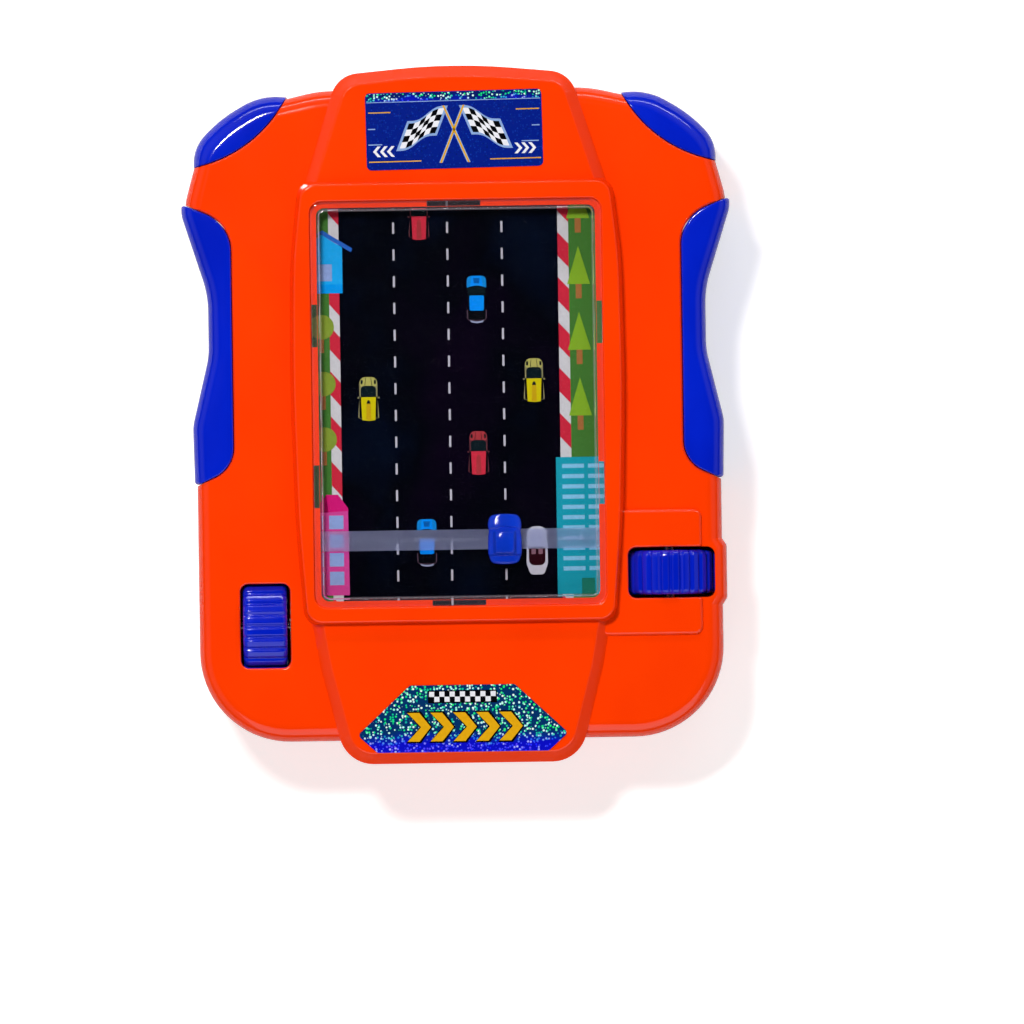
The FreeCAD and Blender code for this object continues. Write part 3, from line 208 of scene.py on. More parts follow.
def blotches(tree: NodeTree, size_mm: tuple[float, float, float], low: float = 0.0,
             high: float = 1.0, detail: float = 2.0) -> NodeSocket:
    """Soft blotches of a real size, which uneven moulding, printing or wear leave.

    Noise in Object coordinates mostly lies within NOISE_SPAN, which is stretched from low to high.

    Args:
        tree: Node tree that the blotches join.
        size_mm: Size of a blotch along X, Y and Z, in millimetres.
        low: Value where they are weak.
        high: Value where they are strong.
        detail: Number of finer octaves.

    Returns:
        The value's output.
    """
    place = add_node(tree, "ShaderNodeTexCoord")
    scale = tuple(1.0 / (size * MM) for size in size_mm)
    scaled = add_node(tree, "ShaderNodeMapping", {"Vector": place.outputs["Object"], "Scale": scale})
    made = add_node(tree, "ShaderNodeTexNoise", {"Vector": scaled.outputs[0], "Scale": 1.0, "Detail": detail})
    value = add_node(tree, "ShaderNodeMapRange", {
        "Value": made.outputs["Fac"], "From Min": NOISE_SPAN[0], "From Max": NOISE_SPAN[1], "To Min": low,
        "To Max": high})
    return value.outputs["Result"]


def open_to_lamps(tree: NodeTree, body: Node, colour: str) -> NodeSocket:
    """Lets light through a clear piece as a tint instead of a slow search for the lamps behind it.

    Args:
        tree: Node tree of the clear material.
        body: Shader that the camera sees.
        colour: Tint that light takes at each surface, as hex.

    Returns:
        The shader's output.
    """
    through = add_node(tree, "ShaderNodeBsdfTransparent", {"Color": linear(colour)})
    path = add_node(tree, "ShaderNodeLightPath")
    shader = body.outputs[0]
    for ray in ("Is Diffuse Ray", "Is Shadow Ray"):
        shader = add_node(tree, "ShaderNodeMixShader", {0: path.outputs[ray], 1: shader,
                                                        2: through.outputs[0]}).outputs[0]
    return shader


@dataclass(frozen=True)
class MouldedAbs:
    """Glossy ABS from a polished mould: flow marks tint it, and its skin ripples like orange peel."""

    name: str
    colour: str
    deep: str
    roughness: float = 0.1
    ripple_mm: float = 1.6
    ripple_depth_mm: float = 0.004
    flow_mm: tuple[float, float, float] = (9.0, 42.0, 20.0)
    wear: tuple[float, float] = (0.95, 1.2)
    wear_mm: float = 12.0

    def material(self) -> Material:
        """Builds the material: colour from flow marks, gloss from wear, normals from the ripple.

        Returns:
            The finished material.
        """
        material, tree = new_material(self.name)
        flow = blotches(tree, self.flow_mm, detail=3.0)
        colour = add_node(tree, "ShaderNodeValToRGB", {"Fac": flow}, ((0.0, self.deep), (0.8, self.colour)))
        dull, worn = [self.roughness * share for share in self.wear]
        wear = blotches(tree, (self.wear_mm,) * 3, dull, worn, 3.0)
        ripple = blotches(tree, (self.ripple_mm,) * 3, detail=1.0)
        bump = add_node(tree, "ShaderNodeBump", {
            "Height": ripple, "Strength": 0.5, "Distance": self.ripple_depth_mm * MM})
        shader = add_node(tree, "ShaderNodeBsdfPrincipled", {
            "Base Color": colour.outputs[0], "Roughness": wear, "IOR": 1.5, "Normal": bump.outputs[0]})
        add_node(tree, "ShaderNodeOutputMaterial", {"Surface": shader.outputs[0]})
        return material


@dataclass(frozen=True)
class MatteAbs:
    """ABS from a spark-eroded mould: an even fine grain makes it dull."""

    name: str
    colour: str
    deep: str
    grain_mm: float = 0.35
    grain_depth_mm: float = 0.008
    tint_mm: float = 6.0
    roughness: tuple[float, float] = (0.42, 0.16)

    def material(self) -> Material:
        """Builds the material with its grain as bump.

        Returns:
            The finished material.
        """
        material, tree = new_material(self.name)
        grain = blotches(tree, (self.grain_mm,) * 3, detail=3.0)
        tint = blotches(tree, (self.tint_mm,) * 3)
        colour = add_node(tree, "ShaderNodeValToRGB", {"Fac": tint}, ((0.1, self.deep), (0.75, self.colour)))
        base, spread = self.roughness
        dull = add_node(tree, "ShaderNodeMath", {0: grain, 1: spread, 2: base}, operation="MULTIPLY_ADD")
        bump = add_node(tree, "ShaderNodeBump", {
            "Height": grain, "Strength": 0.4, "Distance": self.grain_depth_mm * MM})
        shader = add_node(tree, "ShaderNodeBsdfPrincipled", {
            "Base Color": colour.outputs[0], "IOR": 1.5, "Roughness": dull.outputs[0],
            "Normal": bump.outputs[0]})
        add_node(tree, "ShaderNodeOutputMaterial", {"Surface": shader.outputs[0]})
        return material


@dataclass(frozen=True)
class TurnedMetal:
    """Plated or drawn steel: fine marks along or round the part give it a drawn-out shine."""

    name: str
    colour: str
    deep: str
    mark_mm: tuple[float, float, float]
    roughness: float = 0.28
    streaks: tuple[float, float] = (0.8, 0.5)
    mark_depth_mm: float = 0.004

    def material(self) -> Material:
        """Builds the metal with its marks in colour, roughness and bump.

        Returns:
            The finished material.
        """
        material, tree = new_material(self.name)
        marks = blotches(tree, self.mark_mm, detail=4.0)
        colour = add_node(tree, "ShaderNodeValToRGB", {"Fac": marks}, ((0.0, self.deep), (1.0, self.colour)))
        base, spread = [self.roughness * share for share in self.streaks]
        shine = add_node(tree, "ShaderNodeMath", {0: marks, 1: spread, 2: base}, operation="MULTIPLY_ADD")
        bump = add_node(tree, "ShaderNodeBump", {
            "Height": marks, "Strength": 0.3, "Distance": self.mark_depth_mm * MM})
        shader = add_node(tree, "ShaderNodeBsdfPrincipled", {
            "Base Color": colour.outputs[0], "Metallic": 1.0, "Roughness": shine.outputs[0],
            "Normal": bump.outputs[0]})
        add_node(tree, "ShaderNodeOutputMaterial", {"Surface": shader.outputs[0]})
        return material


@dataclass(frozen=True)
class Acetal:
    """Moulded acetal: waxy white, with light that goes a little way in."""

    name: str = "acetal_moulded"
    colour: str = "#eceae2"
    deep: str = "#dedbd0"
    tint_mm: float = 4.0
    light_depth_mm: float = 0.8

    def material(self) -> Material:
        """Builds the waxy plastic.

        Returns:
            The finished material.
        """
        material, tree = new_material(self.name)
        tint = blotches(tree, (self.tint_mm,) * 3)
        colour = add_node(tree, "ShaderNodeValToRGB", {"Fac": tint}, ((0.0, self.deep), (0.75, self.colour)))
        shader = add_node(tree, "ShaderNodeBsdfPrincipled", {
            "Base Color": colour.outputs[0], "Roughness": 0.36, "IOR": 1.48, "Subsurface Weight": 0.15,
            "Subsurface Scale": self.light_depth_mm * MM})
        add_node(tree, "ShaderNodeOutputMaterial", {"Surface": shader.outputs[0]})
        return material


@dataclass(frozen=True)
class ClearNylon:
    """Clear monofilament: it bends what lies behind it and lets lamps shine through."""

    name: str = "nylon_monofilament"
    colour: str = "#eceff4"
    mark_mm: tuple[float, float, float] = (4.0, 0.6, 0.6)
    polish: tuple[float, float] = (0.05, 0.12)

    def material(self) -> Material:
        """Builds the glass-like plastic with drawing marks along it, open to light from lamps.

        Returns:
            The finished material.
        """
        material, tree = new_material(self.name)
        polish = blotches(tree, self.mark_mm, *self.polish, 5.0)
        clear = add_node(tree, "ShaderNodeBsdfPrincipled", {
            "Base Color": linear(self.colour), "Roughness": polish, "IOR": 1.53,
            "Transmission Weight": 1.0})
        add_node(tree, "ShaderNodeOutputMaterial", {"Surface": open_to_lamps(tree, clear, self.colour)})
        return material


@dataclass(frozen=True)
class LensStyrene:
    """Clear moulded lens: polished in the middle, with a frosted rim, and painted highlights as pale lines at
    its edge and step.
    """

    half: tuple[float, float] = (35.48, 49.43)
    centre_y: float = 2.75
    corner_r: float = 2.88
    reach: float = 2.9
    name: str = "clear_polystyrene"
    colour: str = "#fafbfd"
    # Tint of the rim's cover: faint frosting on the flange, and painted highlight lines at the edge and step.
    frost_and_highlight_tint: str = "#c8bcca"
    smear_mm: tuple[float, float, float] = (14.0, 3.0, 8.0)
    polish: tuple[float, float] = (0.01, 0.05)
    # Cover by share in from the edge: painted highlights as pale lines near 0 (the edge) and near 0.72 (the
    # step), faint frosting between.
    rim: Stops = ((0.0, "#707070"), (0.1, "#484848"), (0.18, "#343434"), (0.66, "#323232"),
                  (0.72, "#747474"), (0.8, "#4a4a4a"), (0.86, "#000000"))

    def edge_distance(self, tree: NodeTree) -> NodeSocket:
        """Share of the reach that a point lies inside the lens's rounded outline.

        The distance is corner_r - |max(|p - centre| - (half - corner_r), 0)|.

        Args:
            tree: Node tree of the material.

        Returns:
            The share's output.
        """
        place = add_node(tree, "ShaderNodeTexCoord")
        scaled = add_node(tree, "ShaderNodeVectorMath", {
            0: place.outputs["Object"], 1: (1.0 / MM, 1.0 / MM, 0.0)}, operation="MULTIPLY")
        moved = add_node(tree, "ShaderNodeVectorMath", {
            0: scaled.outputs[0], 1: (0.0, self.centre_y, 0.0)}, operation="SUBTRACT")
        folded = add_node(tree, "ShaderNodeVectorMath", {0: moved.outputs[0]}, operation="ABSOLUTE")
        inner = (self.half[0] - self.corner_r, self.half[1] - self.corner_r, 0.0)
        past = add_node(tree, "ShaderNodeVectorMath", {0: folded.outputs[0], 1: inner}, operation="SUBTRACT")
        kept = add_node(tree, "ShaderNodeVectorMath", {
            0: past.outputs[0], 1: (0.0, 0.0, 0.0)}, operation="MAXIMUM")
        length = add_node(tree, "ShaderNodeVectorMath", {0: kept.outputs[0]}, operation="LENGTH")
        share = add_node(tree, "ShaderNodeMapRange", {
            "Value": length.outputs["Value"], "From Min": self.corner_r,
            "From Max": self.corner_r - self.reach})
        return share.outputs["Result"]

    def material(self) -> Material:
        """Builds the clear body and a milky cover over its rim, faint on the flange, with painted highlights
        as pale lines at the edge and step, open to light from lamps.

        Returns:
            The finished material.
        """
        material, tree = new_material(self.name)
        polish = blotches(tree, self.smear_mm, *self.polish, 5.0)
        clear = add_node(tree, "ShaderNodeBsdfPrincipled", {
            "Base Color": linear(self.colour), "Roughness": polish, "IOR": 1.49,
            "Transmission Weight": 1.0})
        frost_and_highlight_cover = add_node(tree, "ShaderNodeBsdfPrincipled", {
            "Base Color": linear(self.frost_and_highlight_tint), "Roughness": 0.2, "IOR": 1.49})
        # The cover paints highlights as pale lines at the edge and the step, over faint frosting on the
        # flange.
        rim = add_node(tree, "ShaderNodeValToRGB", {"Fac": self.edge_distance(tree)}, self.rim)
        body = add_node(tree, "ShaderNodeMixShader", {
            0: rim.outputs[0], 1: clear.outputs[0], 2: frost_and_highlight_cover.outputs[0]})
        add_node(tree, "ShaderNodeOutputMaterial", {"Surface": open_to_lamps(tree, body, self.colour)})
        return material


@dataclass(frozen=True)
class FrostedStyrene:
    """Frosted polystyrene strip: milky, with the print showing blurred through it."""

    name: str = "frosted_polystyrene"
    colour: str = "#5e6696"
    body: str = "#f4f6fc"
    cover: float = 0.2
    grain_mm: float = 0.5
    grain_depth_mm: float = 0.008

    def material(self) -> Material:
        """Builds the milky plastic: a scattering skin on a rough clear body, open to light from lamps.

        Returns:
            The finished material.
        """
        material, tree = new_material(self.name)
        grain = blotches(tree, (self.grain_mm,) * 3, detail=3.0)
        bump = add_node(tree, "ShaderNodeBump", {
            "Height": grain, "Strength": 0.25, "Distance": self.grain_depth_mm * MM})
        skin = add_node(tree, "ShaderNodeBsdfPrincipled", {
            "Base Color": linear(self.colour), "Roughness": 0.3, "IOR": 1.45, "Normal": bump.outputs[0]})
        body = add_node(tree, "ShaderNodeBsdfPrincipled", {
            "Base Color": linear(self.body), "Roughness": 0.45, "IOR": 1.3, "Transmission Weight": 1.0})
        milky = add_node(tree, "ShaderNodeMixShader", {0: self.cover, 1: body.outputs[0], 2: skin.outputs[0]})
        add_node(tree, "ShaderNodeOutputMaterial", {"Surface": open_to_lamps(tree, milky, self.body)})
        return material


@dataclass(frozen=True)
class HoloFoil:
    """Holographic foil under clear film: the glints of its embossed dots are painted, each in a colour out of
    a zone's range.
    """

    name: str
    grounds: tuple[str, str]
    # Colours of the painted glints in the lower and upper zone, and the share of cells that glint.
    glint_colours: tuple[Stops, Stops]
    glinting: float
    zone_mm: tuple[float, float] = (0.0, 1.0)
    cell_mm: float = 0.72
    dot: float = 0.36
    dot_edge: float = 0.1
    waver_mm: float = 5.0
    waver_depth_mm: float = 1.0
    tilt_mm: float = 0.02

    def zone(self, tree: NodeTree, place: Node) -> NodeSocket:
        """Share from the lower zone, 0, to the upper one, 1: place along Y, which wavers.

        Args:
            tree: Node tree of the material.
            place: Texture coordinates.

        Returns:
            The share's output.
        """
        parts = add_node(tree, "ShaderNodeSeparateXYZ", {0: place.outputs["Object"]})
        depth = self.waver_depth_mm * MM
        waver = blotches(tree, (self.waver_mm,) * 3, -depth, depth)
        along = add_node(tree, "ShaderNodeMath", {0: parts.outputs["Y"], 1: waver}, operation="ADD")
        low, high = self.zone_mm
        share = add_node(tree, "ShaderNodeMapRange", {
            "Value": along.outputs[0], "From Min": low * MM, "From Max": high * MM})
        return share.outputs["Result"]

    def material(self) -> Material:
        """Builds the foil: random cells hold a dot each, and some of them get a painted glint in the base
        colour.

        Returns:
            The finished material.
        """
        material, tree = new_material(self.name)
        place = add_node(tree, "ShaderNodeTexCoord")
        share = self.zone(tree, place)
        cells = add_node(tree, "ShaderNodeTexVoronoi", {
            "Vector": place.outputs["Object"], "Scale": 1.0 / (self.cell_mm * MM)})
        parts = add_node(tree, "ShaderNodeSeparateColor", {"Color": cells.outputs["Color"]})
        glint_hues = [add_node(tree, "ShaderNodeValToRGB", {"Fac": parts.outputs["Red"]}, stops)
                for stops in self.glint_colours]
        glint_hue = add_node(tree, "ShaderNodeMix", {
            "Factor": share, "A": glint_hues[0].outputs[0], "B": glint_hues[1].outputs[0]}, data_type="RGBA")
        ground = add_node(tree, "ShaderNodeMix", {
            "Factor": share, "A": linear(self.grounds[0]), "B": linear(self.grounds[1])}, data_type="RGBA")
        # Painted glint: a round spot in each chosen cell takes the glint colour in place of the ground.
        glint_spot = add_node(tree, "ShaderNodeMapRange", {
            "Value": cells.outputs["Distance"], "From Min": self.dot + self.dot_edge, "From Max": self.dot})
        glinting = add_node(tree, "ShaderNodeMath", {
            0: parts.outputs["Green"], 1: 1.0 - self.glinting}, operation="GREATER_THAN")
        seen = add_node(tree, "ShaderNodeMath", {
            0: glint_spot.outputs["Result"], 1: glinting.outputs[0]}, operation="MULTIPLY")
        mixed = add_node(tree, "ShaderNodeMix", {
            "Factor": seen.outputs[0], "A": ground.outputs["Result"], "B": glint_hue.outputs["Result"]},
            data_type="RGBA")
        tilt = add_node(tree, "ShaderNodeBump", {
            "Height": parts.outputs["Blue"], "Strength": 0.2, "Distance": self.tilt_mm * MM})
        shader = add_node(tree, "ShaderNodeBsdfPrincipled", {
            "Base Color": mixed.outputs["Result"], "Roughness": 0.12, "IOR": 1.45,
            "Normal": tilt.outputs[0]})
        add_node(tree, "ShaderNodeOutputMaterial", {"Surface": shader.outputs[0]})
        return material


@dataclass(frozen=True)
class PrintedInk:
    """Screen printed ink under clear varnish: even colour, a little mottled, with a smooth shine."""

    name: str = "ink_screen_printed"
    roughness: float = 0.1
    mottle_mm: float = 0.8
    mottle: tuple[float, float] = (0.92, 1.04)

    def material(self) -> Material:
        """Builds the ink, whose colour is each patch's own.

        Returns:
            The finished material.
        """
        material, tree = new_material(self.name)
        own = add_node(tree, "ShaderNodeAttribute", attribute_name="ink")
        mottle = blotches(tree, (self.mottle_mm,) * 3, *self.mottle, 4.0)
        colour = add_node(tree, "ShaderNodeVectorMath", {
            0: own.outputs["Color"], "Scale": mottle}, operation="SCALE")
        shader = add_node(tree, "ShaderNodeBsdfPrincipled", {
            "Base Color": colour.outputs[0], "IOR": 1.45, "Roughness": self.roughness})
        add_node(tree, "ShaderNodeOutputMaterial", {"Surface": shader.outputs[0]})
        return material


@dataclass(frozen=True)
class RoadFilm:
    """Polyester film printed solid near-black, with faint blue and plum clouds at random: partly its own
    uneven black, partly a painted haze of reflected light.
    """

    name: str = "film_polyester_black"
    cloud_mm: tuple[float, float, float] = (26.0, 34.0, 20.0)
    clouds: Stops = ((0.0, "#090213"), (0.45, "#010208"), (1.0, "#030b1e"))

    def material(self) -> Material:
        """Builds the dark film.

        Returns:
            The finished material.
        """
        material, tree = new_material(self.name)
        # Clouds at random: partly the film's own uneven black, partly a painted haze of reflected light.
        cloud_and_painted_haze = blotches(tree, self.cloud_mm, detail=4.0)
        colour = add_node(tree, "ShaderNodeValToRGB", {"Fac": cloud_and_painted_haze}, self.clouds)
        shader = add_node(tree, "ShaderNodeBsdfPrincipled", {
            "Base Color": colour.outputs[0], "Roughness": 0.08, "IOR": 1.4})
        add_node(tree, "ShaderNodeOutputMaterial", {"Surface": shader.outputs[0]})
        return material


def even_points(points: np.ndarray, count: int, last: bool = True) -> np.ndarray:
    """Evenly spaced points along a line of short straight pieces.

    Args:
        points: Rows (x, y) of the line.
        count: Number of points.
        last: Whether the line's end is one of them.

    Returns:
        Array of count rows (x, y).
    """
    steps = np.linalg.norm(np.diff(points, axis=0), axis=1)
    length = np.concatenate([[0.0], np.cumsum(steps)])
    wanted = np.linspace(0.0, length[-1], count, endpoint=last)
    return np.stack([np.interp(wanted, length, points[:, k]) for k in (0, 1)], axis=1)


def rounded_path(corners: list[Corner], count: int, closed: bool = False) -> np.ndarray:
    """Evenly spaced points along straight runs that arcs join.

    The arc of radius r in a corner of angle a touches both runs r / tan(a / 2) from the corner,
    about a centre that lies r / sin(a / 2) from it on the bisector.

    Args:
        corners: Corner points (x, y, radius).
        count: Number of points.
        closed: Whether the path returns to its first corner.

    Returns:
        Array of count rows (x, y).
    """
    spots = np.array([corner[:2] for corner in corners], float)
    total = len(corners)
    runs = []
    for i, (_, _, r) in enumerate(corners):
        here = spots[i]
        if r <= 0.0 or (not closed and i in (0, total - 1)):
            runs.append(here[None])
            continue
        back = spots[i - 1] - here
        ahead = spots[(i + 1) % total] - here
        back = back / np.linalg.norm(back)
        ahead = ahead / np.linalg.norm(ahead)
        half = math.acos(float(np.clip(back @ ahead, -1.0, 1.0))) / 2.0
        middle = (back + ahead) / np.linalg.norm(back + ahead)
        centre = here + middle * r / math.sin(half)
        first = here + back * r / math.tan(half) - centre
        last = here + ahead * r / math.tan(half) - centre
        turn = math.atan2(first[0] * last[1] - first[1] * last[0], float(first @ last))
        angles = np.linspace(0.0, turn, ARC_STEPS)
        cos, sin = np.cos(angles), np.sin(angles)
        x = first[0] * cos - first[1] * sin
        y = first[0] * sin + first[1] * cos
        runs.append(centre + np.stack([x, y], axis=1))
    points = np.concatenate(runs + ([runs[0][:1]] if closed else []))
    return even_points(points, count, not closed)


def finish_mesh(mesh: Mesh, material: Material, sharp_deg: float) -> Object:
    """Merges doubles, shades smooth up to an angle and wraps the mesh in an object.

    Args:
        mesh: Mesh in metres.
        material: Its material.
        sharp_deg: Edges turned by more than this stay sharp.

    Returns:
        The object, linked to the scene.
    """
    work = bmesh.new()
    work.from_mesh(mesh)
    bmesh.ops.remove_doubles(work, verts=work.verts, dist=MERGE_MM * MM)
    bmesh.ops.dissolve_degenerate(work, edges=work.edges, dist=SLIVER_MM * MM)
    work.to_mesh(mesh)
    work.free()
    mesh.polygons.foreach_set("use_smooth", np.ones(len(mesh.polygons), bool))
    mesh.set_sharp_from_angle(angle=math.radians(sharp_deg))
    mesh.materials.append(material)
    return add_object(mesh.name, mesh)


def loop_grid_mesh(name: str, grid: np.ndarray, material: Material, ring: bool = False,
                   sharp_deg: float = 40.0) -> Object:
    """Closed surface from rows of closed loops, with its faces turned outwards.

    Quads join each point to the next in its loop and to the same point of the next row. The sum of
    the signed volumes under the quads tells whether they face inwards, and then all are reversed.

    Args:
        name: Name of the piece.
        grid: Array rows by loop points by (x, y, z), in millimetres.
        material: Its material.
        ring: Whether the last row joins the first.
        sharp_deg: Edges turned by more than this stay sharp.

    Returns:
        The finished object.
    """
    rows, loop = grid.shape[:2]
    index = np.arange(rows * loop).reshape(rows, loop)
    upper = np.roll(index, -1, axis=0) if ring else index[1:]
    lower = index if ring else index[:-1]
    quads = np.stack([lower, np.roll(lower, -1, axis=1), np.roll(upper, -1, axis=1), upper], axis=-1)
    quads = quads.reshape(-1, 4)
    points = grid.reshape(-1, 3) * MM
    a, b, c, d = [points[quads[:, k]] for k in range(4)]
    volume = (a * np.cross(b, c)).sum() + (a * np.cross(c, d)).sum()
    if volume < 0.0:
        quads = quads[:, ::-1]
    mesh = bpy.data.meshes.new(name)
    mesh.from_pydata(points.tolist(), [], quads.tolist())
    return finish_mesh(mesh, material, sharp_deg)


def insert_grid(inner: np.ndarray, outer: np.ndarray, section: "InsertSection") -> np.ndarray:
    """Carries an insert's section between two rails.

    Each station's section lies in the upright plane through the inner and the outer rail's points,
    a distance a from the inner one at inner + (outer - inner) * a / width.

    Args:
        inner: Points (x, y) along the seam.
        outer: As many points along the outer edge.
        section: Section to carry.

    Returns:
        Array stations by loop points by (x, y, z).
    """
    across = outer - inner
    width = np.linalg.norm(across, axis=1)
    direction = across / np.maximum(width, 1e-9)[:, None]
    reach, height = section.loop(width)
    x = inner[:, :1] + direction[:, :1] * reach
    y = inner[:, 1:] + direction[:, 1:] * reach
    return np.stack([x, y, height], axis=-1)


@dataclass(frozen=True)
class InsertSection:
    """Section of a grip or bumper: seam edge, crowned top, rolled outer edge and wall."""

    low: float
    high: float
    seam_r: float
    roll_across: float
    roll_down: float
    crown: float
    ridge: float
    base_r: float
    seam_share: float = 0.2
    steps: tuple[int, int, int, int] = (6, 34, 6, 9)

    def top(self, width: np.ndarray, reach: np.ndarray) -> np.ndarray:
        """Height of the top at distances from the seam.

        Within roll_across of the outer edge it falls as a quarter ellipse, plus a straight slope
        that leaves a soft ridge where the roll starts. Inside of that it rises as half a sine.

        Args:
            width: Width of each station, as a column.
            reach: Distances from the seam, one row per station.

        Returns:
            Heights, as many as distances.
        """
        share = np.clip(1.0 - (width - reach) / self.roll_across, 0.0, 1.0)
        flat = np.maximum(width - self.roll_across, 1e-6)
        swell = self.crown * np.clip(flat / self.roll_across, 0.0, 1.0)
        rise = swell * np.sin(math.pi * np.clip(reach / flat, 0.0, 1.0))
        fall = self.roll_down * (1.0 - np.sqrt(1.0 - share ** 2)) + self.ridge * share
        return self.high + rise - fall

    def loop(self, width: np.ndarray) -> tuple[np.ndarray, np.ndarray]:
        """Closed loop of the section at each station.

        The base rolls in as a quarter circle, which stops at the seam where the station is narrower.

        Args:
            width: Width of each station.

        Returns:
            Distances from the seam and heights, each stations by loop points.
        """
        seam_steps, top_steps, wall_steps, base_steps = self.steps
        w = width[:, None]
        seam = np.minimum(self.seam_r, w * self.seam_share)
        turn = np.linspace(0.0, math.pi / 2, seam_steps)[None, :]
        seam_reach = seam * (1.0 - np.cos(turn))
        seam_height = self.top(w, seam_reach) - seam * (1.0 - np.sin(turn))
        share = np.linspace(0.0, 1.0, top_steps)[None, 1:]
        top_reach = w - (w - seam) * (1.0 - share) ** 2
        top_height = self.top(w, top_reach)
        wall = np.linspace(0.0, 1.0, wall_steps)[None, 1:]
        foot = self.low + self.base_r
        edge = top_height[:, -1:]
        wall_height = edge + (foot - edge) * wall
        limit = np.arccos(np.clip(1.0 - w / self.base_r, 0.0, 1.0))
        roll = limit * np.linspace(0.0, 1.0, base_steps)[None, 1:]
        base_reach = w - self.base_r * (1.0 - np.cos(roll))
        base_height = foot - self.base_r * np.sin(roll)
        back = np.zeros_like(w)
        reach = np.concatenate([seam_reach, top_reach, w + 0.0 * wall, base_reach, back], axis=1)
        heights = [seam_height, top_height, wall_height, base_height, base_height[:, -1:]]
        return reach, np.concatenate(heights, axis=1)


@dataclass(frozen=True)
class SideGrip:
    """Waisted insert in the side of the case, held by the fingers."""

    side: Side
    stations: int = 200
    seam: tuple[Corner, ...] = ((66.3, 51.93, 0.0), (55.0, 47.3, 10.0), (55.0, -12.4, 7.8),
                                (63.6, -16.27, 0.0))
    edge: tuple[Corner, ...] = ((66.3, 51.93, 0.0), (67.0, 52.22, 0.6), (67.0, 49.5, 7.5),
                                (60.8, 30.0, 25.0), (60.8, 15.0, 20.0), (64.9, -2.0, 12.0),
                                (64.585, -16.71, 0.8), (63.6, -16.27, 0.0))
    section: InsertSection = InsertSection(2.0, 34.0, 0.45, 3.6, 3.6, 0.12, 0.12, 3.4)

    def build(self, material: Material) -> Object:
        """Builds the grip's skin, which stands for the plain insert.

        Args:
            material: Its material.

        Returns:
            The grip.
        """
        inner = rounded_path(list(self.seam), self.stations)
        outer = rounded_path(list(self.edge), self.stations)
        grid = insert_grid(inner, outer, self.section)
        grid[..., 0] *= self.side.value
        name = self.side.name.lower()
        made = loop_grid_mesh(f"{name}_grip_skin", grid, material)
        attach(made, "root")
        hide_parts(f"{name}_grip")
        return made


@dataclass(frozen=True)
class CornerBumper:
    """Insert in an upper corner of the case, bounded by an arc of seam."""

    side: Side
    stations: int = 160
    seam_centre: tuple[float, float] = (69.5, 92.8)
    seam_r: float = 32.1
    edge: tuple[Corner, ...] = ((35.0, 77.4, 0.0), (47.0, 78.9, 16.0), (57.5, 72.85, 34.0),
                                (63.9, 66.1, 10.0), (63.7, 50.0, 0.0))
    edge_samples: int = 2400
    section: InsertSection = InsertSection(3.0, 33.0, 0.4, 4.6, 4.2, 0.05, 0.6, 3.6)

    def build(self, material: Material) -> Object:
        """Builds the bumper's skin between the seam's arc and the part of the edge inside its circle.

        Args:
            material: Its material.

        Returns:
            The bumper.
        """
        centre = np.array(self.seam_centre)
        whole = rounded_path(list(self.edge), self.edge_samples)
        inside = whole[np.linalg.norm(whole - centre, axis=1) < self.seam_r]
        outer = even_points(inside, self.stations)
        ends = outer[[0, -1]] - centre
        first, last = np.arctan2(ends[:, 1], ends[:, 0])
        first = first - 2.0 * math.pi if first > 0.0 else first
        angles = np.linspace(first, last, self.stations)
        inner = centre + self.seam_r * np.stack([np.cos(angles), np.sin(angles)], axis=1)
        grid = insert_grid(inner, outer, self.section)
        grid[..., 0] *= self.side.value
        name = self.side.name.lower()
        made = loop_grid_mesh(f"{name}_bumper_skin", grid, material)
        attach(made, "root")
        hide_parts(f"{name}_corner_bumper")
        return made


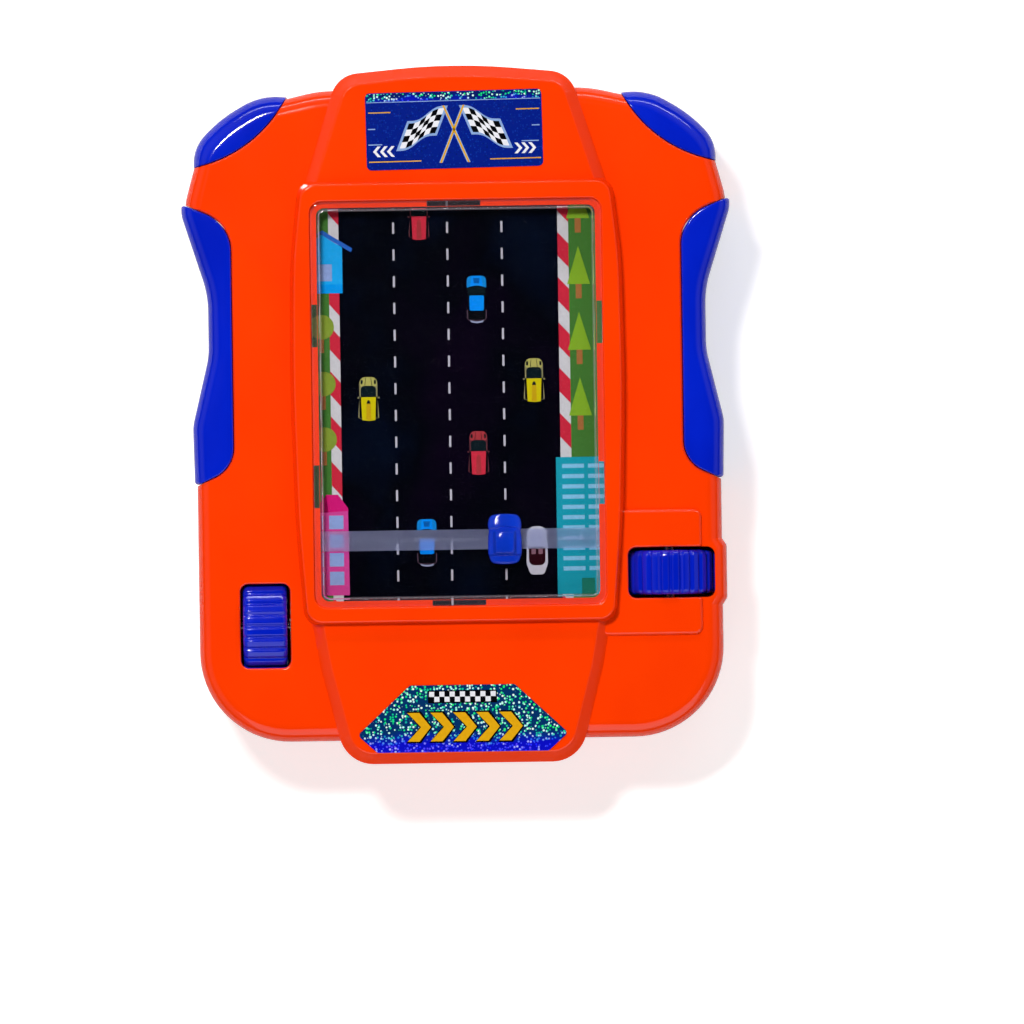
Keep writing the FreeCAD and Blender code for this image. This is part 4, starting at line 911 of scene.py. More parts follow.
@dataclass(frozen=True)
class ThumbWheel:
    """Grooved wheel that a thumb rolls: a rounded rim with cross grooves and dished faces."""

    node: str
    body: str
    axis: str
    grooves: int = 28
    groove_depth: float = 0.55
    edge_r: float = 1.4
    bore_r: float = 1.5
    hub_r: float = 4.0
    dish: float = 0.9
    hub_slope: float = 0.3
    rim_wall: tuple[float, float] = (2.0, 1.6)
    groove_power: float = 1.5
    groove_reach: tuple[float, float] = (2.6, 2.0)
    groove_steps: int = 12
    profile_steps: int = 7

    def profile(self, half: float, radius: float) -> tuple[np.ndarray, np.ndarray]:
        """Closed profile of the wheel in the plane of its axis.

        From the bore it runs out over the hub, down into the dish, up to the rim's rounding, across
        the rim and back the same way on the other face.

        Args:
            half: Half of the wheel's width.
            radius: Radius at the rim.

        Returns:
            Distances along the axis and radii.
        """
        rim_in = radius - self.edge_r
        foot, crest = self.rim_wall
        face_r = np.array([self.bore_r, self.hub_r, self.hub_r + self.hub_slope, rim_in - foot,
                           rim_in - crest])
        face_a = half - np.array([0.0, 0.0, self.dish, self.dish, 0.0])
        turn = np.linspace(0.0, math.pi / 2, self.profile_steps)
        roll_a = half - self.edge_r * (1.0 - np.cos(turn))
        roll_r = rim_in + self.edge_r * np.sin(turn)
        across = np.linspace(1.0, -1.0, self.profile_steps)[1:-1] * (half - self.edge_r)
        axial = np.concatenate([face_a, roll_a, across, -roll_a[::-1], -face_a[::-1]])
        rim_r = np.full(across.size, radius)
        return axial, np.concatenate([face_r, roll_r, rim_r, roll_r[::-1], face_r[::-1]])

    def build(self, material: Material) -> Object:
        """Builds the wheel: the profile turned round its axis, with cosine grooves cut into the rim.

        Args:
            material: Its material.

        Returns:
            The wheel.
        """
        low, high = [np.array(corner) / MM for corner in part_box(self.node)]
        along = "XYZ".index(self.axis)
        centre = (low + high) / 2.0
        half = (high - low)[along] / 2.0
        radius = (high - low)[2] / 2.0
        axial, radii = self.profile(half, radius)
        steps = self.grooves * self.groove_steps
        theta = np.linspace(0.0, 2.0 * math.pi, steps, endpoint=False)[:, None]
        pulse = np.clip(np.cos(self.grooves * theta), 0.0, 1.0) ** self.groove_power
        start, run = self.groove_reach
        depth = self.groove_depth * np.clip((radii - radius + start) / run, 0.0, 1.0)[None, :]
        swept = radii[None, :] - pulse * depth
        others = [k for k in range(3) if k != along]
        grid = np.empty(swept.shape + (3,))
        grid[..., along] = centre[along] + axial[None, :]
        grid[..., others[0]] = centre[others[0]] + swept * np.cos(theta)
        grid[..., others[1]] = centre[others[1]] + swept * np.sin(theta)
        made = loop_grid_mesh(f"{self.node}_tyre", grid, material, ring=True, sharp_deg=50.0)
        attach(made, self.body)
        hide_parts(self.node)
        return made


@dataclass(frozen=True)
class PlayerCar:
    """Small moulded car that the player steers: bonnet, cabin block and low tail in one skin."""

    plan_power: float = 5.0
    dome_power: float = 2.7
    deck: float = 2.0
    nose_fall: float = 0.28
    nose_run: tuple[float, float] = (0.35, 1.1)
    tail: float = 1.35
    tail_step: tuple[float, float] = (0.6, 0.68)
    tail_fall: float = 0.2
    tail_run: tuple[float, float] = (0.9, 1.0)
    side: float = 0.25
    cabin: float = 1.5
    cabin_half: float = 2.85
    cabin_edge: tuple[float, float] = (0.7, 0.1)
    cabin_middle: float = -0.14
    cabin_back: tuple[float, float] = (0.54, 0.62)
    crown: tuple[float, float] = (6.3, 5.4)
    screen_line: float = 0.35
    screen_run: float = 0.2
    screen_bow: float = 0.1
    line_depth: float = 0.42
    line_width: float = 0.045
    waist: tuple[float, float, float] = (0.055, 0.3, 0.16)
    taper: tuple[float, float, float] = (0.045, 0.58, 0.7)
    stations: int = 150
    across: int = 81

    @staticmethod
    def step(value: np.ndarray, start: float, end: float) -> np.ndarray:
        """Smooth step: 0 before start, 1 after end, cubic in between."""
        share = np.clip((value - start) / (end - start), 0.0, 1.0)
        return share * share * (3.0 - 2.0 * share)

    def heights(self, x: np.ndarray, y: np.ndarray, width: np.ndarray, length: float) -> np.ndarray:
        """Heights of the skin over its base.

        The bonnet falls off towards the nose, the tail is a low lip behind a steep step, and both dome
        across as (1 - |x|^p)^(1/p), where p is dome_power. Smooth steps raise the cabin block, whose
        roof falls off as a parabola both ways, and a bell-shaped groove that bows forwards marks the
        windscreen's foot.

        Args:
            x: Shares across, from -1 to 1.
            y: Shares along, from -1 at the tail to 1 at the nose.
            width: Distances from the middle, in millimetres.
            length: Half length of the car, in millimetres.

        Returns:
            Heights, in millimetres.
        """
        dome = (1.0 - np.abs(x) ** self.dome_power) ** (1.0 / self.dome_power)
        bonnet = self.deck * (1.0 - self.nose_fall * self.step(y, *self.nose_run))
        behind = self.step(-y, *self.tail_step)
        fall = 1.0 - self.tail_fall * self.step(-y, *self.tail_run)
        body = (bonnet + (self.tail - bonnet) * behind) * fall
        body = body * (self.side + (1.0 - self.side) * dome)
        inside, outside = self.cabin_edge
        across = 1.0 - self.step(np.abs(width), self.cabin_half - inside, self.cabin_half + outside)
        bowed = y - self.screen_bow * (1.0 - x ** 2)
        front = 1.0 - self.step(bowed, self.screen_line - self.screen_run, self.screen_line)
        along = front * (1.0 - self.step(-y, *self.cabin_back))
        fall_x = (width / self.crown[0]) ** 2
        fall_y = ((y - self.cabin_middle) * length / self.crown[1]) ** 2
        roof = 1.0 - fall_x - fall_y
        groove = self.line_depth * np.exp(-((bowed - self.screen_line) / self.line_width) ** 2)
        return body + self.cabin * across * along * roof - groove * dome

    def build(self, material: Material) -> Object:
        """Builds the body as a height over its plan.

        The plan's half width at y is (1 - |y|^p)^(1/p), where p is plan_power, pinched beside the
        windscreen and a little narrower at the tail.

        Args:
            material: Its material.

        Returns:
            The car.
        """
        low, high = [np.array(corner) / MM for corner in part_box("car_body")]
        middle = (low + high) / 2.0
        half = (high - low) / 2.0
        power = self.plan_power
        y = np.sin(np.linspace(-math.pi / 2, math.pi / 2, self.stations))[:, None]
        depth, middle_y, spread = self.waist
        narrow, start, end = self.taper
        pinch = depth * np.exp(-((y - middle_y) / spread) ** 2) + narrow * self.step(-y, start, end)
        plan = (1.0 - np.abs(y) ** power) ** (1.0 / power) * (1.0 - pinch)
        x = np.sin(np.linspace(-math.pi / 2, math.pi / 2, self.across))[None, :]
        width = half[0] * plan * x
        top = np.minimum(low[2] + self.heights(x, y, width, half[1]), high[2])
        base = np.full((self.stations, 2), low[2])
        grid = np.empty((self.stations, self.across + 2, 3))
        grid[..., 0] = middle[0] + np.concatenate([width, width[:, -1:], width[:, :1]], axis=1)
        grid[..., 1] = middle[1] + half[1] * y
        grid[..., 2] = np.concatenate([top, base], axis=1)
        made = loop_grid_mesh("player_car", grid, material, sharp_deg=60.0)
        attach(made, "car")
        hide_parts("car_body")
        return made


class InkSheet:
    """Patches of printed ink, gathered flat and laid on a surface as one mesh."""

    layer_mm: float = 0.012
    disc_sides: int = 36

    def __init__(self) -> None:
        """Starts an empty sheet."""
        self.patches: list[np.ndarray] = []
        self.inks: list[Ink] = []

    def polygon(self, points: np.ndarray | list[tuple[float, float]], ink: Ink, layer: int) -> None:
        """Adds one flat polygon.

        Args:
            points: Its corners as (across, along), in millimetres.
            ink: Its ink.
            layer: How many inks lie under it.
        """
        flat = np.asarray(points, float)
        ahead = np.roll(flat, -1, axis=0)
        area = (flat[:, 0] * ahead[:, 1] - ahead[:, 0] * flat[:, 1]).sum()
        flat = flat[::-1] if area < 0.0 else flat
        height = np.full((len(flat), 1), layer * self.layer_mm)
        self.patches.append(np.concatenate([flat, height], axis=1))
        self.inks.append(ink)

    def box(self, x0: float, x1: float, y0: float, y1: float, ink: Ink, layer: int) -> None:
        """Adds a rectangle between two corners."""
        self.polygon([(x0, y0), (x1, y0), (x1, y1), (x0, y1)], ink, layer)

    def strip(self, corners: list[tuple[float, float]], ink: Ink, layer: int, rows: int) -> None:
        """Adds a four-sided patch in rows along its length, so that it can bend.

        Args:
            corners: Lower left, lower right, upper right and upper left corner.
            ink: Its ink.
            layer: How many inks lie under it.
            rows: Number of rows.
        """
        low_left, low_right, high_right, high_left = np.asarray(corners, float)
        share = np.linspace(0.0, 1.0, rows + 1)[:, None]
        left = low_left + (high_left - low_left) * share
        right = low_right + (high_right - low_right) * share
        for i in range(rows):
            self.polygon(np.stack([left[i], right[i], right[i + 1], left[i + 1]]), ink, layer)

    def disc(self, x: float, y: float, radius: float, ink: Ink, layer: int) -> None:
        """Adds a round patch of many sides."""
        angles = np.linspace(0.0, 2.0 * math.pi, self.disc_sides, endpoint=False)
        self.polygon(np.stack([x + radius * np.cos(angles), y + radius * np.sin(angles)], axis=1), ink, layer)

    def build(self, name: str, surface: Surface, material: Material) -> Object:
        """Lays the patches on a surface.

        Args:
            name: Name of the piece.
            surface: Turns rows (across, along, height) into places in space, in millimetres.
            material: Ink material, which reads the attribute "ink".

        Returns:
            The finished object.
        """
        sizes = [len(patch) for patch in self.patches]
        starts = np.concatenate([[0], np.cumsum(sizes)])
        faces = [list(range(starts[i], starts[i + 1])) for i in range(len(sizes))]
        points = surface(np.concatenate(self.patches)) * MM
        mesh = bpy.data.meshes.new(name)
        mesh.from_pydata(points.tolist(), [], faces)
        colours = np.repeat(np.array([linear(ink.value) for ink in self.inks]), sizes, axis=0)
        mesh.color_attributes.new("ink", "FLOAT_COLOR", "POINT").data.foreach_set("color", colours.ravel())
        mesh.materials.append(material)
        return add_object(name, mesh)


@dataclass(frozen=True)
class RoadLoop:
    """Outer face of the endless film: a flat run above, a flat run below and a half turn at each roller."""

    low_y: float
    high_y: float
    axis_z: float
    radius: float

    @classmethod
    def from_frame(cls) -> "RoadLoop":
        """Takes the loop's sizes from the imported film.

        Returns:
            The loop.
        """
        low, high = [np.array(corner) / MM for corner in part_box("road_belt")]
        radius = (high[2] - low[2]) / 2.0
        return cls(low[1] + radius, high[1] - radius, (low[2] + high[2]) / 2.0, radius)

    @property
    def run(self) -> float:
        """Length of a flat run."""
        return self.high_y - self.low_y

    @property
    def length(self) -> float:
        """Length of the whole loop."""
        return 2.0 * self.run + 2.0 * math.pi * self.radius

    def along(self, y: float) -> float:
        """Distance along the loop at a height on the visible run."""
        return y - self.low_y

    def place(self, points: np.ndarray) -> np.ndarray:
        """Wraps rows (across, along, height) round the loop.

        Along the upper run Y grows with the distance, round the idler the angle does, the lower run
        comes back, and the last half turn closes the loop round the drive roller.

        Args:
            points: Rows (across, along, height above the film).

        Returns:
            Rows (x, y, z), in millimetres.
        """
        x, s, h = points.T
        s = np.mod(s, self.length)
        r = self.radius + h
        turn = math.pi * self.radius
        idler = (s - self.run) / self.radius
        drive = (s - 2.0 * self.run - turn) / self.radius
        parts = [s < self.run, s < self.run + turn, s < 2.0 * self.run + turn]
        y_runs = [self.low_y + s, self.high_y + r * np.sin(idler), self.high_y - (s - self.run - turn)]
        z_runs = [self.axis_z + r, self.axis_z + r * np.cos(idler), self.axis_z - r]
        y = np.select(parts, y_runs, self.low_y - r * np.sin(drive))
        z = np.select(parts, z_runs, self.axis_z - r * np.cos(drive))
        return np.stack([x, y, z], axis=1)


class CarModel(Enum):
    """Kinds of printed car, seen from above."""

    SALOON = "bonnet, screen, square roof and dark rear window"
    COUPE = "nose, screen and one long deck between pale wings"
    OPEN = "pale shell round a dark cabin"


@dataclass(frozen=True)
class PrintedCar:
    """One printed car with its nose up, in flat shapes whose places are shares of its half sizes."""

    sheet: InkSheet
    model: CarModel
    x: float
    y: float
    nose: Ink
    deck: Ink
    trim: Ink
    outline_points: int = 48
    band_points: int = 15

    @property
    def size(self) -> tuple[float, float]:
        """Width and length of its model."""
        sizes = {CarModel.SALOON: (4.95, 11.75), CarModel.COUPE: (5.2, 10.65), CarModel.OPEN: (5.35, 11.9)}
        return sizes[self.model]

    def patch(self, points: list[Corner], ink: Ink, layer: int) -> None:
        """Prints a rounded shape.

        Args:
            points: Corners as (share of the half width, share of the half length, radius).
            ink: Its ink.
            layer: How many inks lie under it.
        """
        w, h = self.size[0] / 2.0, self.size[1] / 2.0
        corners = [(self.x + px * w, self.y + py * h, r) for px, py, r in points]
        self.sheet.polygon(rounded_path(corners, self.outline_points, closed=True), ink, layer)

    def mirrored(self, left: list[Corner], ink: Ink, layer: int) -> None:
        """Prints a rounded shape from the corners of its left half."""
        self.patch(left + [(-x, y, r) for x, y, r in left[::-1]], ink, layer)

    def pairs(self, *shapes: tuple[list[Corner], Ink, int]) -> None:
        """Prints rounded shapes, each with its mirror image.

        Args:
            shapes: Corners of the right one, its ink and how many inks lie under it.
        """
        for side in (-1.0, 1.0):
            for points, ink, layer in shapes:
                self.patch([(side * x, y, r) for x, y, r in points], ink, layer)

    def band(self, half: tuple[float, float], ends: tuple[float, float], bow: tuple[float, float],
             ink: Ink, layer: int) -> None:
        """Prints a band across the car whose lower and upper edges bow as parabolas.

        Args:
            half: Half widths at its lower and upper end, as shares.
            ends: Heights of its lower and upper end, as shares.
            bow: How far the middle of each end lies above its corners.
            ink: Its ink.
            layer: How many inks lie under it.
        """
        w, h = self.size[0] / 2.0, self.size[1] / 2.0
        across = np.linspace(-1.0, 1.0, self.band_points)
        rise = 1.0 - across ** 2
        low = np.stack([self.x + across * half[0] * w, self.y + (ends[0] + bow[0] * rise) * h], axis=1)
        high = np.stack([self.x + across * half[1] * w, self.y + (ends[1] + bow[1] * rise) * h], axis=1)
        self.sheet.polygon(np.concatenate([low, high[::-1]]), ink, layer)

    def saloon(self) -> None:
        """Prints a saloon: dark flanks, a bright bonnet with a scoop, a bright roof and a pale bumper."""
        self.mirrored([(-1.0, -0.42, 0.4), (-0.96, -0.9, 0.9)], self.trim, 3)
        self.band((0.86, 0.9), (-0.84, 0.3), (-0.03, 0.05), Ink.BLACK, 4)
        self.band((0.6, 0.66), (-0.95, -0.88), (-0.05, -0.05), Ink.BUMPER, 5)
        self.mirrored([(-0.96, 0.46, 0.3), (-0.94, 0.97, 1.15)], self.nose, 4)
        self.band((0.62, 0.5), (0.5, 0.95), (0.07, 0.02), self.deck, 5)
        self.band((0.26, 0.32), (0.66, 0.88), (0.0, 0.0), Ink.SCOOP, 6)
        self.band((0.84, 0.9), (0.16, 0.48), (0.03, 0.08), Ink.GLASS, 6)
        self.mirrored([(-0.7, -0.48, 0.35), (-0.72, 0.15, 0.3)], self.deck, 7)

    def coupe(self) -> None:
        """Prints a coupe: a dull nose with lamps, a dark rounded screen and a bright deck between wings."""
        self.mirrored([(-1.0, -0.9, 0.4), (-0.84, 0.1, 1.0), (-0.86, 0.99, 1.5)], self.trim, 3)
        self.mirrored([(-0.8, 0.58, 0.4), (-0.76, 1.0, 1.2)], self.nose, 4)
        lamp = [(0.72, 0.68, 0.15), (0.72, 0.86, 0.15), (0.52, 0.88, 0.15), (0.54, 0.68, 0.15)]
        crease = [(0.36, 0.62, 0.0), (0.26, 0.97, 0.0), (0.22, 0.97, 0.0), (0.3, 0.62, 0.0)]
        side_mirror = [(1.04, 0.02, 0.1), (1.04, 0.1, 0.1), (0.8, 0.08, 0.0), (0.8, 0.02, 0.0)]
        self.pairs((lamp, Ink.GLASS, 5), (crease, Ink.GLASS, 5), (side_mirror, self.trim, 3))
        self.band((0.86, 0.86), (-0.88, 0.1), (0.0, 0.0), Ink.BLACK, 4)
        self.mirrored([(-0.72, 0.06, 0.3), (-0.72, 0.6, 1.0)], Ink.GLASS, 5)
        self.band((0.62, 0.7), (-0.97, 0.08), (-0.03, 0.0), self.deck, 6)
        yellow = self.nose is Ink.YELLOW_DULL
        stripe = Ink.STRIPE if yellow else self.nose
        mark = Ink.GLASS if yellow else self.nose
        self.band((0.24, 0.2), (-0.94, -0.18), (-0.03, 0.0), stripe, 7)
        self.band((0.2, 0.08), (-0.22, -0.06), (0.0, 0.0), mark, 8)

    def open(self) -> None:
        """Prints an open car: a pale shell with a shaded bonnet round a dark cabin with two seats."""
        self.patch([(-0.98, -0.55, 0.8), (-0.9, 0.98, 1.9), (0.9, 0.98, 1.9), (0.98, -0.55, 0.8),
                    (0.62, -1.0, 0.9), (-0.62, -1.0, 0.9)], self.deck, 3)
        self.band((0.72, 0.6), (0.1, 0.84), (0.06, 0.04), self.nose, 4)
        self.mirrored([(-0.76, 0.12, 0.3), (-0.74, -0.62, 1.3)], Ink.CABIN, 5)
        seat = [(0.12, -0.16, 0.15), (0.12, 0.06, 0.15), (0.52, 0.06, 0.15), (0.52, -0.16, 0.15)]
        self.pairs((seat, self.trim, 6))

    def lay(self) -> None:
        """Prints the car of its model."""
        draw = {CarModel.SALOON: self.saloon, CarModel.COUPE: self.coupe, CarModel.OPEN: self.open}
        draw[self.model]()


@dataclass(frozen=True)
class RoadPrint:
    """What is printed on the film: a four lane road with kerbs, grass, trees, buildings and cars."""

    kerb_left: tuple[float, float] = (-31.16, -28.65)
    kerb_right: tuple[float, float] = (24.82, 27.49)
    film_half: float = 35.6
    kerb_pitch: float = 11.25
    kerb_white: float = 5.25
    kerb_slant: float = 2.85
    kerb_top: float = 49.44
    lane_x: tuple[float, ...] = (-15.27, -2.09, 11.19)
    dash_top: float = 45.71
    dash_pitch: float = 6.57
    dash_length: float = 2.7
    dash_width: float = 0.5
    round_trees: tuple[tuple[float, float], ...] = ((-33.07, 21.77), (-32.87, 7.89), (-32.77, -5.69))
    leaf_r: float = 3.0
    trunk: tuple[float, float, float] = (0.5, 6.3, 2.4)
    fir_x: float = 29.83
    fir_base: float = 31.43
    fir_pitch: float = 16.07
    fir_size: tuple[float, float] = (2.8, 9.3)
    fir_trunk: tuple[float, float, float] = (0.72, 3.5, 0.2)
    under_x: float = -33.0
    under_start: float = 8.0
    under_pitch: float = 18.0
    tower_panes: tuple[int, float, float, float] = (4, -24.3, 4.57, 3.3)
    office_rows: tuple[int, float, float, float] = (11, -12.99, 2.505, 0.5)
    rows: int = 96
    sheet: InkSheet = field(default_factory=InkSheet)
    loop: RoadLoop = field(default_factory=RoadLoop.from_frame)

    def grounds(self) -> None:
        """Prints the grass, the striped kerbs and the dashed lane lines all round the loop."""
        sheet, loop = self.sheet, self.loop
        end = loop.length
        for x0, x1 in ((-self.film_half, self.kerb_left[0]), (self.kerb_right[1], self.film_half)):
            sheet.strip([(x0, 0.0), (x1, 0.0), (x1, end), (x0, end)], Ink.GRASS, 1, self.rows)
        pitch = loop.length / round(loop.length / self.kerb_pitch)
        for x0, x1 in (self.kerb_left, self.kerb_right):
            sheet.strip([(x0, 0.0), (x1, 0.0), (x1, end), (x0, end)], Ink.KERB_RED, 1, self.rows)
            for i in range(round(loop.length / pitch)):
                top = loop.along(self.kerb_top) - i * pitch
                low = top - self.kerb_white
                sheet.strip([(x0, low), (x1, low - self.kerb_slant), (x1, top - self.kerb_slant), (x0, top)],
                            Ink.KERB_WHITE, 2, 4)
        pitch = loop.length / round(loop.length / self.dash_pitch)
        for x in self.lane_x:
            half = self.dash_width / 2.0
            for i in range(round(loop.length / pitch)):
                top = loop.along(self.dash_top) - i * pitch + self.dash_length / 2.0
                low = top - self.dash_length
                dash = [(x - half, low), (x + half, low), (x + half, top), (x - half, top)]
                sheet.strip(dash, Ink.LINE, 1, 2)

    def traffic(self) -> None:
        """Prints the cars, and a few more on the run that shows once the film is cranked on."""
        sheet, loop = self.sheet, self.loop
        red = (CarModel.COUPE, Ink.RED_DULL, Ink.RED, Ink.RED_TRIM)
        yellow = (CarModel.COUPE, Ink.YELLOW_DULL, Ink.YELLOW, Ink.YELLOW_TRIM)
        blue = (CarModel.SALOON, Ink.BLUE_DULL, Ink.BLUE, Ink.BLUE_TRIM)
        white = (CarModel.OPEN, Ink.WHITE_DULL, Ink.WHITE, Ink.SEAT)
        under = loop.run + math.pi * loop.radius
        seen = [(-8.95, 48.1, red), (4.88, 28.1, blue), (-21.9, 4.1, yellow), (18.6, 8.1, yellow),
                (4.79, -9.5, red), (-8.15, -31.2, blue), (18.75, -33.45, white)]
        spots = [(x, loop.along(y), car) for x, y, car in seen]
        spots += [(x, under + share * loop.run, car) for x, share, car in (
            (-22.0, 0.12, white), (4.6, 0.26, yellow), (18.6, 0.42, red), (-8.6, 0.56, white),
            (-22.0, 0.72, blue), (4.8, 0.88, yellow))]
        for x, s, (model, nose, deck, trim) in spots:
            PrintedCar(sheet, model, x, s, nose, deck, trim).lay()

    def fir(self, s: float) -> None:
        """Prints a fir's triangle at a distance along the loop."""
        x, (half, height) = self.fir_x, self.fir_size
        self.sheet.polygon([(x - half, s), (x + half, s), (x, s + height)], Ink.TREE, 4)

    def trees(self) -> None:
        """Prints round trees on the left verge and firs on the right one."""
        sheet, loop = self.sheet, self.loop
        half, foot, top = self.trunk
        for x, y in self.round_trees:
            s = loop.along(y)
            sheet.box(x - half, x + half, s - foot, s - top, Ink.TRUNK, 3)
            sheet.disc(x, s, self.leaf_r, Ink.LEAF, 4)
        half, foot, top = self.fir_trunk
        for i in range(-1, 3):
            s = loop.along(self.fir_base - i * self.fir_pitch)
            sheet.box(self.fir_x - half, self.fir_x + half, s - foot, s + top, Ink.TRUNK, 3)
            self.fir(s)
        under = loop.run + math.pi * loop.radius + self.under_start
        for i in range(6):
            s = under + i * self.under_pitch
            sheet.disc(self.under_x, s, self.leaf_r, Ink.LEAF, 4)
            self.fir(s)

    def buildings(self) -> None:
        """Prints a gabled house, a narrow tower and an office block at the road's edges."""
        sheet, loop = self.sheet, self.loop
        edge = self.film_half
        at = loop.along
        house = [(-edge, at(30.0)), (-27.84, at(30.0)), (-27.84, at(41.2)), (-32.9, at(44.4)),
                 (-edge, at(42.6))]
        sheet.polygon(house, Ink.HOUSE, 5)
        sheet.box(-edge, -27.84, at(30.0), at(32.2), Ink.HOUSE_FOOT, 6)
        right_slope = [(-25.7, at(40.0)), (-25.3, at(40.9)), (-32.6, at(45.4)), (-33.4, at(44.7))]
        left_slope = [(-33.4, at(44.7)), (-32.6, at(45.4)), (-edge, at(43.6)), (-edge, at(42.6))]
        for slope in (right_slope, left_slope):
            sheet.polygon(slope, Ink.HOUSE_ROOF, 6)
        sheet.box(-34.0, -30.4, at(33.0), at(37.1), Ink.PANE, 6)
        tower = [(-34.2, at(-43.8)), (-27.14, at(-43.8)), (-27.3, at(-22.7)), (-34.2, at(-22.7))]
        sheet.polygon(tower, Ink.TOWER, 5)
        sheet.polygon([(-34.2, at(-23.6)), (-27.2, at(-23.2)), (-27.3, at(-22.5)), (-29.7, at(-19.2)),
                       (-32.6, at(-19.2)), (-34.2, at(-21.4))], Ink.TOWER_ROOF, 6)
        sheet.polygon([(-34.2, at(-23.6)), (-32.1, at(-23.5)), (-32.6, at(-19.2)), (-34.2, at(-21.4))],
                      Ink.TOWER_SHADE, 7)
        count, start, pitch, height = self.tower_panes
        for i in range(count):
            top = at(start - pitch * i)
            sheet.box(-31.97, -28.45, top - height, top, Ink.PANE, 6)
        sheet.box(23.67, edge, at(-44.3), at(-10.82), Ink.OFFICE, 5)
        count, start, pitch, half = self.office_rows
        for i in range(count):
            middle = at(start - pitch * i)
            for x0, x1 in ((25.17, 30.5), (31.5, edge - 0.3)):
                sheet.box(x0, x1, middle - half, middle + half, Ink.OFFICE_PANE, 6)
        sheet.box(29.6, 32.8, at(-44.3), at(-40.4), Ink.OFFICE_DOOR, 6)

    def build(self, material: Material) -> Object:
        """Prints everything and lays it on the film.

        Args:
            material: Ink, which reads each patch's colour.

        Returns:
            The print.
        """
        self.grounds()
        self.trees()
        self.buildings()
        self.traffic()
        made = self.sheet.build("road_print", self.loop.place, material)
        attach(made, "root")
        return made


